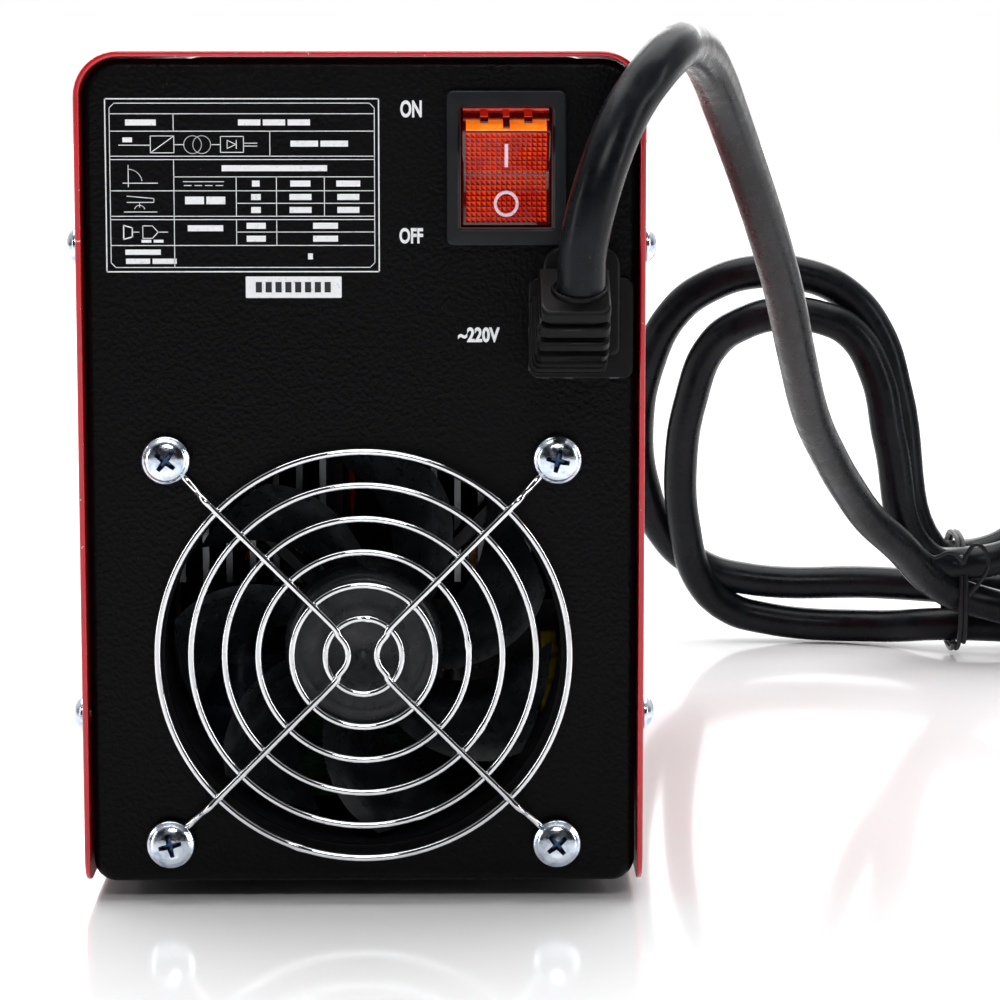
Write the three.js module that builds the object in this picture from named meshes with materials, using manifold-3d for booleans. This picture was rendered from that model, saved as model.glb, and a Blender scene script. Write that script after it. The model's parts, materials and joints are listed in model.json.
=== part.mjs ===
// A small inverter stick welder: sheet-metal case, rear fan behind a wire guard, rocker power switch,
// angled cable boot, mains cord with its tied hank and plug, front panel with current knob and two
// output sockets, and the power electronics inside. Millimetres, +Z up, rear panel facing -Y.
import * as THREE from 'three';
import { mergeVertices } from 'three/addons/utils/BufferGeometryUtils.js';
import Module from 'manifold-3d';

const wasm = await Module();
wasm.setup();

// ---- driving dimensions -------------------------------------------------------------------------

const SHEET = 1.2; // steel thickness of case parts
const GAP = 0.3; // room left between touching pieces
const CASE_HALF_WIDTH = 59.6;
const CASE_TOP_Z = 181;
const SKIRT_Z = 4.2; // lower edge of the cover flaps and of both panels
const COVER_RADIUS = 9.5; // outer bend between the cover's top and sides
const COVER_REAR_Y = -120.5;
const COVER_FRONT_Y = 124.5;
const REAR_FACE_Y = -118; // outer face of the rear panel
const FRONT_FACE_Y = 122; // outer face of the front panel
const PANEL_CLEARANCE = 0.4; // between the cover and the panels inside it
const PANEL_FLANGE = 14; // depth of the panels' folded edges
const BEND_RADIUS = 2;
const FLAP_CORNER_RADIUS = 6;
const SIDE_SLOTS = { count: 8, pitch: 8, firstY: 28, width: 3, z: [62, 106] };
const STRAP_SLOTS = { y: [-88, 92], halfLength: 18, halfWidth: 2.9 };
const BASE_PAN = { halfWidth: 56.2, low: 5.8, high: 24, fold: 4 };
const FOOT_HEIGHT = 5.5;

const FAN_CENTRE_Z = 54.3;
const FAN_SIZE = 92;
const FAN_DEPTH = 25.4;
const FAN_HOLE_PITCH = 82.5;
const FAN_BORE_RADIUS = 42.5;
const PANEL_FAN_HOLE_RADIUS = 42;
const ROTOR_HUB_RADIUS = 17;
const ROTOR_TIP_RADIUS = 40.8;
const BLADE_COUNT = 7;

const GUARD_WIRE_RADIUS = 0.8;
const GUARD_RING_COUNT = 6;
const GUARD_OUTER_RING_RADIUS = 43.6;
const GUARD_RING_PITCH = 7.1;
const GUARD_RING_Y = REAR_FACE_Y - 3.6;
const GUARD_LEG_Y = GUARD_RING_Y - 1;

const SWITCH_X = 30.4;
const SWITCH_Z = 156.75;
const SWITCH_BEZEL = { width: 25, height: 32.3, proud: 2.5 };
const SWITCH_MOUTH = { width: 19.4, height: 25.2 };
const SWITCH_BODY = { width: 21.6, height: 27.6 };
const ROCKER_PIVOT_Y = REAR_FACE_Y + 6;
const ROCKER_TILT = THREE.MathUtils.degToRad(14);

const BOOT_X = 44.5;
const BOOT_ELBOW = { y: REAR_FACE_Y - 4.5, z: 135, inner: 5, outer: 21, end: 80 };
const BOOT_RIB_COUNT = 7;
const BOOT_PLATE = { x: [35, 57.2], z: [112.6, 134], thickness: 1.6 };
const BOOT_HOOD = { x: [38, 54.2], z: [120, 140.4] };
const BOOT_NECK_Z = 122;
const BOOT_NECK_RADIUS = 6;

const CORD_RADIUS = 5;
const HANK_FRONT_Y = 157;
const HANK_BACK_Y = 217;
const HANK_LOBES = [
  { x: 114, reachX: 45, reachZ: 61.5 },
  { x: 226, reachX: 45, reachZ: 56 },
];
const HANK_WAIST = { middle: 170, x: [140, 200], y: [170, 202], z: [3, 37] };
const PLUG_X = 232;
const PLUG_Z = 19.5;
const PLUG_LENGTH = 36;
const PIN_LENGTH = 19;
const PIN_OFFSET = 9.5;

const KNOB_Z = 98;
const KNOB_RADIUS = 14;
const SOCKET_X = 31;
const SOCKET_Z = 40;
const SOCKET_REACH_Y = 143.2;
const WINDOW = { x: [-22.1, 22.1], z: [141.9, 162.1] };
const LED_PLACES = [
  [36, 157],
  [36, 147],
];
const SIDE_SCREW_Z = [140.3, 39.8];
const SIDE_SCREW_INSET = 9;
const BOARD_Z = 13;

// The cord's free run, from the boot over the cover's corner and down to the hank.
const LEAD_ROUTE = [
  [45.5, -135.6, 133.4],
  [45.7, -137.6, 140],
  [46.8, -138.8, 146.5],
  [48.5, -138.4, 153],
  [50.6, -136.8, 159.3],
  [53.2, -134.2, 165.5],
  [56.5, -130.6, 171.4],
  [60.8, -126.6, 177],
  [65.2, -118, 181.2],
  [68.4, -104, 182.5],
  [72.8, -86, 180.8],
  [77.4, -66.5, 175.2],
  [81.4, -50, 167.8],
  [85.2, -36.5, 160],
  [91.5, -16, 146.5],
  [96.3, 0.5, 135.5],
  [102, 22, 121],
  [108, 49, 103],
  [115.5, 81, 83],
  [122.5, 103, 70.5],
  [131, 126, 57.5],
  [139, 141, 47],
  [148, 151.5, 38.5],
];

// ---- finishes -----------------------------------------------------------------------------------

function finish(color, roughness, metalness) {
  return { color, roughness, metalness };
}

const FINISH = {
  redPaint: finish(0xc8141e, 0.35, 0.1),
  blackPowder: finish(0x16161a, 0.6, 0.1),
  blackPlastic: finish(0x131315, 0.45, 0),
  redLens: finish(0xd8300e, 0.25, 0),
  smokedLens: finish(0x241012, 0.15, 0),
  greenLens: finish(0x2f9a3c, 0.25, 0),
  amberLens: finish(0xe39a1a, 0.25, 0),
  rubber: finish(0x17181a, 0.75, 0),
  chrome: finish(0xd8d8dc, 0.12, 1),
  zinc: finish(0xc6ccd4, 0.28, 1),
  brass: finish(0xc9a24a, 0.3, 1),
  copper: finish(0xb8714a, 0.35, 1),
  aluminium: finish(0xb9bcc0, 0.4, 1),
  ferrite: finish(0x2b2b2d, 0.8, 0),
  yellowTape: finish(0xe8c51c, 0.5, 0),
  greenBoard: finish(0x1c5a34, 0.5, 0),
  capSleeve: finish(0x22262e, 0.4, 0),
  redWire: finish(0xb5201c, 0.5, 0),
};

// ---- geometry helpers ---------------------------------------------------------------------------

function toSolid(geometry) {
  const bare = geometry.clone();
  bare.deleteAttribute('normal');
  bare.deleteAttribute('uv');
  const merged = mergeVertices(bare, 1e-4);
  const vertProperties = new Float32Array(merged.attributes.position.array);
  const triVerts = new Uint32Array(merged.index.array);
  return new wasm.Manifold(new wasm.Mesh({ numProp: 3, vertProperties, triVerts }));
}

function toGeometry(solid) {
  const mesh = solid.getMesh();
  const geometry = new THREE.BufferGeometry();
  geometry.setAttribute('position', new THREE.BufferAttribute(mesh.vertProperties, 3));
  geometry.setIndex(new THREE.BufferAttribute(mesh.triVerts, 1));
  geometry.computeVertexNormals();
  return geometry;
}

function join(geometries) {
  return toGeometry(geometries.map(toSolid).reduce((whole, piece) => whole.add(piece)));
}

function cut(geometry, cutters) {
  const blank = toSolid(geometry);
  return toGeometry(cutters.map(toSolid).reduce((whole, piece) => whole.subtract(piece), blank));
}

function block([x0, x1], [y0, y1], [z0, z1]) {
  const geometry = new THREE.BoxGeometry(x1 - x0, y1 - y0, z1 - z0);
  return geometry.translate((x0 + x1) / 2, (y0 + y1) / 2, (z0 + z1) / 2);
}

// A round bar whose axis runs along 'x', 'y' or 'z' from low to high, centred on [a, b] across it.
function bar(axis, radius, [low, high], [a, b], sides = 16) {
  const geometry = new THREE.CylinderGeometry(radius, radius, high - low, sides);
  const middle = (low + high) / 2;
  if (axis === 'x') {
    return geometry.rotateZ(-Math.PI / 2).translate(middle, a, b);
  }
  if (axis === 'y') {
    return geometry.translate(a, middle, b);
  }
  return geometry.rotateX(Math.PI / 2).translate(a, b, middle);
}

// A profile of [radius, height] pairs turned about a line along Y through [x, z].
function turnedAlongY(profile, [x, z], sides = 24) {
  const points = profile.map(([radius, height]) => new THREE.Vector2(radius, height));
  return new THREE.LatheGeometry(points, sides).translate(x, 0, z);
}

// A shape drawn in X and Z, extruded from y0 to y1.
function slabXZ(shape, y0, y1, options = {}) {
  const geometry = new THREE.ExtrudeGeometry(shape, {
    depth: y1 - y0,
    bevelEnabled: false,
    curveSegments: 6,
    ...options,
  });
  return geometry.rotateX(Math.PI / 2).translate(0, y1, 0);
}

// A shape drawn in Y and Z, extruded from x0 to x1.
function slabYZ(shape, x0, x1) {
  const geometry = new THREE.ExtrudeGeometry(shape, {
    depth: x1 - x0,
    bevelEnabled: false,
    curveSegments: 6,
  });
  return geometry.rotateX(Math.PI / 2).rotateZ(Math.PI / 2).translate(x0, 0, 0);
}

function roundedRectangle([x0, x1], [z0, z1], [lowRadius, highRadius]) {
  const shape = new THREE.Shape();
  shape.moveTo(x0 + lowRadius, z0);
  shape.lineTo(x1 - lowRadius, z0);
  shape.absarc(x1 - lowRadius, z0 + lowRadius, lowRadius, -Math.PI / 2, 0);
  shape.lineTo(x1, z1 - highRadius);
  shape.absarc(x1 - highRadius, z1 - highRadius, highRadius, 0, Math.PI / 2);
  shape.lineTo(x0 + highRadius, z1);
  shape.absarc(x0 + highRadius, z1 - highRadius, highRadius, Math.PI / 2, Math.PI);
  shape.lineTo(x0, z0 + lowRadius);
  shape.absarc(x0 + lowRadius, z0 + lowRadius, lowRadius, Math.PI, Math.PI * 1.5);
  return shape;
}

function polygon(points) {
  return new THREE.Shape(points.map(([a, b]) => new THREE.Vector2(a, b)));
}

function tubeAlong(curve, radius, sides, steps) {
  const section = new THREE.Shape();
  for (let side = 0; side < sides; side += 1) {
    const angle = (side / sides) * Math.PI * 2;
    const corner = [Math.cos(angle) * radius, Math.sin(angle) * radius];
    if (side === 0) {
      section.moveTo(...corner);
    } else {
      section.lineTo(...corner);
    }
  }
  return new THREE.ExtrudeGeometry(section, { steps, bevelEnabled: false, extrudePath: curve });
}

function smoothCurve(points) {
  return new THREE.CatmullRomCurve3(points.map((point) => new THREE.Vector3(...point)));
}

// ---- assembly -----------------------------------------------------------------------------------

const welder = new THREE.Group();

function addPart(name, geometry, surface, parent = welder) {
  const mesh = new THREE.Mesh(geometry, new THREE.MeshStandardMaterial(surface));
  mesh.name = name;
  parent.add(mesh);
  return mesh;
}

// ---- case ---------------------------------------------------------------------------------------

// The cover is one sheet bent over the top, with rounded flap corners, cooling slots in the sides,
// two slots for a shoulder strap in the top, and holes for the side screws.
function makeTopCover() {
  const outer = CASE_HALF_WIDTH;
  const inner = outer - SHEET;
  const innerRadius = COVER_RADIUS - SHEET;
  const bendX = outer - COVER_RADIUS;
  const bendZ = CASE_TOP_Z - COVER_RADIUS;
  const section = new THREE.Shape();
  section.moveTo(outer, SKIRT_Z);
  section.absarc(bendX, bendZ, COVER_RADIUS, 0, Math.PI / 2);
  section.absarc(-bendX, bendZ, COVER_RADIUS, Math.PI / 2, Math.PI);
  section.lineTo(-outer, SKIRT_Z);
  section.lineTo(-inner, SKIRT_Z);
  section.absarc(-bendX, bendZ, innerRadius, Math.PI, Math.PI / 2, true);
  section.absarc(bendX, bendZ, innerRadius, Math.PI / 2, 0, true);
  section.lineTo(inner, SKIRT_Z);
  const sheet = slabXZ(section, COVER_REAR_Y, COVER_FRONT_Y);

  const cutters = [];
  for (const z of SIDE_SCREW_Z) {
    for (const y of sideScrewYs()) {
      cutters.push(bar('x', 2.1, [-outer - 1, outer + 1], [y, z], 12));
    }
  }
  for (let slot = 0; slot < SIDE_SLOTS.count; slot += 1) {
    const y = SIDE_SLOTS.firstY + slot * SIDE_SLOTS.pitch;
    cutters.push(block([-outer - 1, outer + 1], [y, y + SIDE_SLOTS.width], SIDE_SLOTS.z));
  }
  const { halfLength, halfWidth } = STRAP_SLOTS;
  for (const y of STRAP_SLOTS.y) {
    const across = [-halfLength, halfLength];
    cutters.push(block(across, [y - halfWidth, y + halfWidth], [CASE_TOP_Z - 4, CASE_TOP_Z + 1]));
  }
  cutters.push(flapCornerCutter(COVER_REAR_Y, 1), flapCornerCutter(COVER_FRONT_Y, -1));
  return cut(sheet, cutters);
}

// Takes the square corner off both flaps at one end; direction points from that end into the case.
function flapCornerCutter(endY, direction) {
  const radius = FLAP_CORNER_RADIUS;
  const shape = new THREE.Shape();
  const centreY = endY + direction * radius;
  const centreZ = SKIRT_Z + radius;
  shape.moveTo(endY - direction, SKIRT_Z - 1);
  shape.lineTo(centreY, SKIRT_Z - 1);
  for (let step = 0; step <= 6; step += 1) {
    const angle = (step / 6) * (Math.PI / 2);
    shape.lineTo(centreY - direction * radius * Math.sin(angle), centreZ - radius * Math.cos(angle));
  }
  shape.lineTo(endY - direction, centreZ);
  return slabYZ(shape, -CASE_HALF_WIDTH - 1, CASE_HALF_WIDTH + 1);
}

function sideScrewYs() {
  return [COVER_REAR_Y + SIDE_SCREW_INSET, COVER_FRONT_Y - SIDE_SCREW_INSET];
}

const PANEL_HALF_WIDTH = CASE_HALF_WIDTH - SHEET - PANEL_CLEARANCE;
const PANEL_TOP_Z = CASE_TOP_Z - SHEET - PANEL_CLEARANCE;

// A shallow steel tray: its face looks along -Y at faceY and its edges are folded towards +Y.
function makePanelTray(faceY) {
  const cornerRadii = [5, COVER_RADIUS - SHEET - PANEL_CLEARANCE];
  const innerRadii = cornerRadii.map((radius) => radius - SHEET);
  const half = PANEL_HALF_WIDTH;
  const outerShape = roundedRectangle([-half, half], [SKIRT_Z, PANEL_TOP_Z], cornerRadii);
  const innerShape = roundedRectangle(
    [SHEET - half, half - SHEET],
    [SKIRT_Z + SHEET, PANEL_TOP_Z - SHEET],
    innerRadii,
  );
  const bevel = {
    bevelEnabled: true,
    bevelThickness: BEND_RADIUS,
    bevelSize: BEND_RADIUS,
    bevelOffset: -BEND_RADIUS,
    bevelSegments: 2,
    curveSegments: 3,
  };
  const blank = slabXZ(outerShape, faceY + BEND_RADIUS, faceY + PANEL_FLANGE + 10, bevel);
  const hollow = slabXZ(innerShape, faceY + SHEET, faceY + PANEL_FLANGE + 20, { curveSegments: 3 });
  const beyond = block([-70, 70], [faceY + PANEL_FLANGE, faceY + PANEL_FLANGE + 20], [0, 200]);
  const screwY = faceY + COVER_REAR_Y - REAR_FACE_Y + SIDE_SCREW_INSET;
  const screwHoles = SIDE_SCREW_Z.map((z) => bar('x', 2, [-half - 1, half + 1], [screwY, z], 12));
  return cut(blank, [hollow, beyond, ...screwHoles]);
}

function fanScrewPlaces() {
  const half = FAN_HOLE_PITCH / 2;
  return [
    [-half, FAN_CENTRE_Z + half],
    [half, FAN_CENTRE_Z + half],
    [-half, FAN_CENTRE_Z - half],
    [half, FAN_CENTRE_Z - half],
  ];
}

function makeRearPanel() {
  const through = [REAR_FACE_Y - 1, REAR_FACE_Y + 3];
  const switchHole = block(
    [SWITCH_X - SWITCH_BODY.width / 2 - 0.4, SWITCH_X + SWITCH_BODY.width / 2 + 0.4],
    through,
    [SWITCH_Z - SWITCH_BODY.height / 2 - 0.4, SWITCH_Z + SWITCH_BODY.height / 2 + 0.4],
  );
  const cutters = [
    bar('y', PANEL_FAN_HOLE_RADIUS, through, [0, FAN_CENTRE_Z], 40),
    bar('y', BOOT_NECK_RADIUS + 0.5, through, [BOOT_X, BOOT_NECK_Z], 16),
    switchHole,
    ...fanScrewPlaces().map((place) => bar('y', 2.3, through, place, 12)),
  ];
  return cut(makePanelTray(REAR_FACE_Y), cutters);
}

function makeFrontPanel() {
  const through = [FRONT_FACE_Y - 3, FRONT_FACE_Y + 1];
  const tray = makePanelTray(-FRONT_FACE_Y).rotateZ(Math.PI);
  const cutters = [
    block([WINDOW.x[0] - 0.4, WINDOW.x[1] + 0.4], through, [WINDOW.z[0] - 0.4, WINDOW.z[1] + 0.4]),
    bar('y', 4.6, through, [0, KNOB_Z], 16),
    ...LED_PLACES.map((place) => bar('y', 2.9, through, place, 12)),
    ...[-SOCKET_X, SOCKET_X].map((x) => bar('y', 12.4, through, [x, SOCKET_Z], 20)),
  ];
  return cut(tray, cutters);
}

// The base is a trough with rounded folds, standing between the two panels' folded edges.
function makeBasePan() {
  const { halfWidth: half, low, high, fold } = BASE_PAN;
  const foldX = half - fold;
  const foldZ = low + fold;
  const shape = new THREE.Shape();
  shape.moveTo(-half, high);
  shape.absarc(-foldX, foldZ, fold, Math.PI, Math.PI * 1.5);
  shape.absarc(foldX, foldZ, fold, -Math.PI / 2, 0);
  shape.lineTo(half, high);
  shape.lineTo(half - SHEET, high);
  shape.absarc(foldX, foldZ, fold - SHEET, 0, -Math.PI / 2, true);
  shape.absarc(-foldX, foldZ, fold - SHEET, -Math.PI / 2, -Math.PI, true);
  shape.lineTo(SHEET - half, high);
  return slabXZ(shape, REAR_FACE_Y + SHEET + 1, FRONT_FACE_Y - SHEET - 1);
}

addPart('top_cover', makeTopCover(), FINISH.redPaint);
addPart('base_pan', makeBasePan(), FINISH.blackPowder);
addPart('rear_panel', makeRearPanel(), FINISH.blackPowder);
addPart('front_panel', makeFrontPanel(), FINISH.blackPowder);

// A pan-head screw whose head looks along -Y and sits on the plane y = 0, on the group's own axis.
function makePanScrew(headRadius, headHeight, shankRadius, shankLength, sides) {
  return turnedAlongY(
    [
      [0, shankLength],
      [shankRadius, shankLength],
      [shankRadius, 0],
      [headRadius, 0],
      [headRadius, -headHeight * 0.45],
      [headRadius * 0.6, -headHeight],
      [0, -headHeight],
    ].reverse(),
    [0, 0],
    sides,
  );
}

let sideScrewNumber = 0;
for (const side of [-1, 1]) {
  for (const y of sideScrewYs()) {
    for (const z of SIDE_SCREW_Z) {
      sideScrewNumber += 1;
      const name = `cover_screw_${sideScrewNumber}`;
      const screw = addPart(name, makePanScrew(3.75, 2.4, 1.7, 5, 10), FINISH.zinc);
      screw.rotation.z = (side * Math.PI) / 2;
      screw.position.set(side * (CASE_HALF_WIDTH + GAP), y, z);
    }
  }
}

let footNumber = 0;
for (const x of [-42, 42]) {
  for (const y of [-90, 90]) {
    footNumber += 1;
    const foot = new THREE.CylinderGeometry(9, 8, FOOT_HEIGHT, 20).rotateX(Math.PI / 2);
    addPart(`foot_${footNumber}`, foot.translate(x, y, FOOT_HEIGHT / 2), FINISH.rubber);
  }
}

// ---- fan ----------------------------------------------------------------------------------------

const FAN_REAR_Y = REAR_FACE_Y + SHEET + GAP;
const FAN_INNER_Y = FAN_REAR_Y + FAN_DEPTH;
const STATOR_REAR_Y = FAN_INNER_Y - 4.4;

function makeFanFrame() {
  const half = FAN_SIZE / 2;
  const outline = roundedRectangle(
    [-half, half],
    [FAN_CENTRE_Z - half, FAN_CENTRE_Z + half],
    [4, 4],
  );
  const bore = bar('y', FAN_BORE_RADIUS, [FAN_REAR_Y - 1, FAN_INNER_Y + 1], [0, FAN_CENTRE_Z], 32);
  const holes = fanScrewPlaces().map((place) => {
    return bar('y', 2.3, [FAN_REAR_Y - 1, FAN_INNER_Y + 1], place, 12);
  });
  const waists = [0, 1, 2, 3].map((turn) => {
    const notch = block([-26, 26], [FAN_REAR_Y + 3.5, FAN_INNER_Y - 3.5], [half - 1.6, half + 1]);
    return notch.rotateY((turn * Math.PI) / 2).translate(0, 0, FAN_CENTRE_Z);
  });
  const square = slabXZ(outline, FAN_REAR_Y, FAN_INNER_Y, { curveSegments: 3 });
  const ring = cut(square, [bore, ...holes, ...waists]);
  const struts = [0, 1, 2, 3].map((turn) => {
    const strut = block([10, FAN_BORE_RADIUS + 1], [FAN_INNER_Y - 3, FAN_INNER_Y], [-1.8, 1.8]);
    return strut.rotateY((turn * Math.PI) / 2 + Math.PI / 4).translate(0, 0, FAN_CENTRE_Z);
  });
  const stator = bar('y', 16, [STATOR_REAR_Y, FAN_INNER_Y], [0, FAN_CENTRE_Z], 24);
  const bearing = bar('y', 1.9, [STATOR_REAR_Y - 1, FAN_INNER_Y + 1], [0, FAN_CENTRE_Z], 12);
  return cut(join([ring, ...struts, stator]), [bearing]);
}

// The rotor is a cup hub with raked blades and the spindle that runs in the frame's bearing.
function makeFanRotor() {
  const hubRearY = FAN_REAR_Y + 2;
  const hub = turnedAlongY(
    [
      [0, STATOR_REAR_Y - 0.5],
      [ROTOR_HUB_RADIUS, STATOR_REAR_Y - 0.5],
      [ROTOR_HUB_RADIUS, hubRearY + 1.5],
      [ROTOR_HUB_RADIUS - 1.5, hubRearY],
      [0, hubRearY],
    ].reverse(),
    [0, 0],
    28,
  );
  const spindle = bar('y', 1.5, [STATOR_REAR_Y - 2, FAN_INNER_Y - 0.5], [0, 0], 10);
  const blades = [];
  for (let blade = 0; blade < BLADE_COUNT; blade += 1) {
    const outline = new THREE.Shape();
    outline.moveTo(ROTOR_HUB_RADIUS - 2.5, -7);
    outline.quadraticCurveTo(32, -9.5, ROTOR_TIP_RADIUS - 2.2, -10.5);
    outline.quadraticCurveTo(ROTOR_TIP_RADIUS - 0.4, 0, ROTOR_TIP_RADIUS - 2.2, 8.5);
    outline.quadraticCurveTo(30, 8, ROTOR_HUB_RADIUS - 2.5, 7.5);
    const plate = new THREE.ExtrudeGeometry(outline, { depth: 1.3, bevelEnabled: false, curveSegments: 4 });
    plate.rotateX(THREE.MathUtils.degToRad(48));
    plate.translate(0, (hubRearY + STATOR_REAR_Y) / 2, 0);
    blades.push(plate.rotateY((blade / BLADE_COUNT) * Math.PI * 2));
  }
  return join([hub, spindle, ...blades]).translate(0, 0, FAN_CENTRE_Z);
}

// Six welded rings under two hairpin legs, each leg ending in a flattened eye under a screw head.
function makeFanGuard() {
  const pieces = [];
  for (let ring = 0; ring < GUARD_RING_COUNT; ring += 1) {
    const radius = GUARD_OUTER_RING_RADIUS - ring * GUARD_RING_PITCH;
    const segments = Math.round(8 + radius * 0.48);
    const torus = new THREE.TorusGeometry(radius, GUARD_WIRE_RADIUS, 5, segments);
    pieces.push(torus.rotateX(Math.PI / 2).translate(0, GUARD_RING_Y, 0));
  }
  const eyeY = [REAR_FACE_Y - GAP - 1.2, REAR_FACE_Y - GAP];
  const eyeMiddleY = (eyeY[0] + eyeY[1]) / 2;
  const diagonal = Math.SQRT1_2;
  for (const side of [-1, 1]) {
    const half = [
      [56, eyeMiddleY],
      [52.5, eyeMiddleY],
      [48.5, (eyeMiddleY + GUARD_LEG_Y) / 2],
      [45.5, GUARD_LEG_Y],
      [36, GUARD_LEG_Y],
      [22, GUARD_LEG_Y],
      [9, GUARD_LEG_Y],
    ];
    const upper = half.map(([reach, y]) => [side * reach * diagonal, y, reach * diagonal]);
    const lower = upper.map(([x, y, z]) => [x, y, -z]).reverse();
    const bend = [
      [side * 3.9, GUARD_LEG_Y, 2.2],
      [side * 3.2, GUARD_LEG_Y, 0],
      [side * 3.9, GUARD_LEG_Y, -2.2],
    ];
    pieces.push(tubeAlong(smoothCurve([...upper, ...bend, ...lower]), GUARD_WIRE_RADIUS, 5, 32));
    for (const up of [-1, 1]) {
      const place = [(side * FAN_HOLE_PITCH) / 2, (up * FAN_HOLE_PITCH) / 2];
      pieces.push(bar('y', 4.3, eyeY, place, 12));
    }
  }
  const eyeHoles = fanScrewPlaces().map(([x, z]) => {
    return bar('y', 2.3, [REAR_FACE_Y - 8, REAR_FACE_Y + 1], [x, z - FAN_CENTRE_Z], 10);
  });
  return cut(join(pieces), eyeHoles).translate(0, 0, FAN_CENTRE_Z);
}

addPart('fan_frame', makeFanFrame(), FINISH.blackPlastic);
addPart('fan_rotor', makeFanRotor(), FINISH.blackPlastic);
addPart('fan_guard', makeFanGuard(), FINISH.chrome);

fanScrewPlaces().forEach(([x, z], index) => {
  const screw = addPart(`guard_screw_${index + 1}`, makePanScrew(5.2, 2.8, 1.9, 18, 16), FINISH.zinc);
  screw.position.set(x, REAR_FACE_Y - 1.2 - 2 * GAP, z);
});

// ---- power switch -------------------------------------------------------------------------------

function makeSwitchHousing() {
  const bezelRearY = REAR_FACE_Y - GAP - SWITCH_BEZEL.proud;
  const half = (size) => size / 2;
  const bezel = slabXZ(
    roundedRectangle(
      [SWITCH_X - half(SWITCH_BEZEL.width), SWITCH_X + half(SWITCH_BEZEL.width)],
      [SWITCH_Z - half(SWITCH_BEZEL.height), SWITCH_Z + half(SWITCH_BEZEL.height)],
      [0.8, 0.8],
    ),
    bezelRearY,
    REAR_FACE_Y - GAP,
    { curveSegments: 2 },
  );
  const body = block(
    [SWITCH_X - half(SWITCH_BODY.width), SWITCH_X + half(SWITCH_BODY.width)],
    [REAR_FACE_Y - 1, REAR_FACE_Y + 19],
    [SWITCH_Z - half(SWITCH_BODY.height), SWITCH_Z + half(SWITCH_BODY.height)],
  );
  const mouth = block(
    [SWITCH_X - half(SWITCH_MOUTH.width), SWITCH_X + half(SWITCH_MOUTH.width)],
    [bezelRearY - 1, REAR_FACE_Y + 15.5],
    [SWITCH_Z - half(SWITCH_MOUTH.height), SWITCH_Z + half(SWITCH_MOUTH.height)],
  );
  const tabs = [];
  for (const x of [-5, 5]) {
    for (const z of [-7, 7]) {
      tabs.push(
        block(
          [SWITCH_X + x - 0.4, SWITCH_X + x + 0.4],
          [REAR_FACE_Y + 18, REAR_FACE_Y + 27],
          [SWITCH_Z + z - 3.2, SWITCH_Z + z + 3.2],
        ),
      );
    }
  }
  return cut(join([bezel, body, ...tabs]), [mouth]);
}

// The rocker has a shallow vee face; its lower end is pressed in at rest.
function makeRocker() {
  const outline = polygon([
    [-9.2, -10.2],
    [-6.4, 0],
    [-9.2, 10.2],
    [2, 11.9],
    [5.5, 6],
    [5.5, -6],
    [2, -11.9],
  ]);
  const width = SWITCH_MOUTH.width - 1;
  const rocker = slabYZ(outline, -width / 2, width / 2);
  rocker.rotateX(ROCKER_TILT);
  return rocker.translate(SWITCH_X, ROCKER_PIVOT_Y, SWITCH_Z);
}

addPart('switch_housing', makeSwitchHousing(), FINISH.blackPlastic);
addPart('switch_rocker', makeRocker(), FINISH.redLens);

// ---- cable boot, cord, hank and plug ------------------------------------------------------------

// A wedge of the boot's elbow between two angles, counted from straight down towards the rear.
function elbowWedge([inner, outer], [startDegrees, endDegrees], halfWidth) {
  const steps = Math.max(1, Math.round((endDegrees - startDegrees) / 12));
  const at = (radius, degrees) => {
    const angle = THREE.MathUtils.degToRad(degrees);
    return [BOOT_ELBOW.y - radius * Math.sin(angle), BOOT_ELBOW.z - radius * Math.cos(angle)];
  };
  const points = [];
  for (let step = 0; step <= steps; step += 1) {
    points.push(at(inner, startDegrees + ((endDegrees - startDegrees) * step) / steps));
  }
  for (let step = steps; step >= 0; step -= 1) {
    points.push(at(outer, startDegrees + ((endDegrees - startDegrees) * step) / steps));
  }
  return slabYZ(polygon(points), BOOT_X - halfWidth, BOOT_X + halfWidth);
}

function makeStrainRelief() {
  const plateY = [REAR_FACE_Y - GAP - BOOT_PLATE.thickness, REAR_FACE_Y - GAP];
  const plateShape = roundedRectangle(BOOT_PLATE.x, BOOT_PLATE.z, [1.5, 1.5]);
  const plate = slabXZ(plateShape, ...plateY, { curveSegments: 2 });
  const hoodShape = roundedRectangle(BOOT_HOOD.x, BOOT_HOOD.z, [0.5, 4]);
  const hood = slabXZ(hoodShape, REAR_FACE_Y - 4.8, REAR_FACE_Y - GAP - 0.2, { curveSegments: 3 });
  const root = block([BOOT_X - 8, BOOT_X + 8], [BOOT_ELBOW.y - 0.1, plateY[0] + 0.4], [114, 130]);
  const { inner, outer, end: endAngle } = BOOT_ELBOW;
  const core = elbowWedge([inner + 1, outer - 1.8], [0, endAngle - 1], 6.8);
  const neck = bar('y', BOOT_NECK_RADIUS, [REAR_FACE_Y - 1, REAR_FACE_Y + 8], [BOOT_X, BOOT_NECK_Z], 16);
  const ribs = [];
  const pitch = endAngle / BOOT_RIB_COUNT;
  for (let rib = 0; rib < BOOT_RIB_COUNT; rib += 1) {
    const start = 2 + rib * pitch;
    ribs.push(elbowWedge([inner, outer], [start, start + pitch * 0.62], 8.1 - rib * 0.1));
  }
  const end = elbowWedge([inner, outer], [endAngle - 5, endAngle], 7.4);
  return join([plate, hood, root, core, neck, ...ribs, end]);
}

function makeReliefNut() {
  const place = [BOOT_X, BOOT_NECK_Z];
  const nut = bar('y', 10, [REAR_FACE_Y + SHEET + GAP, REAR_FACE_Y + SHEET + 4], place, 6);
  const bore = bar('y', BOOT_NECK_RADIUS + 0.4, [REAR_FACE_Y, REAR_FACE_Y + 10], place, 16);
  return cut(nut, [bore]);
}

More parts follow.
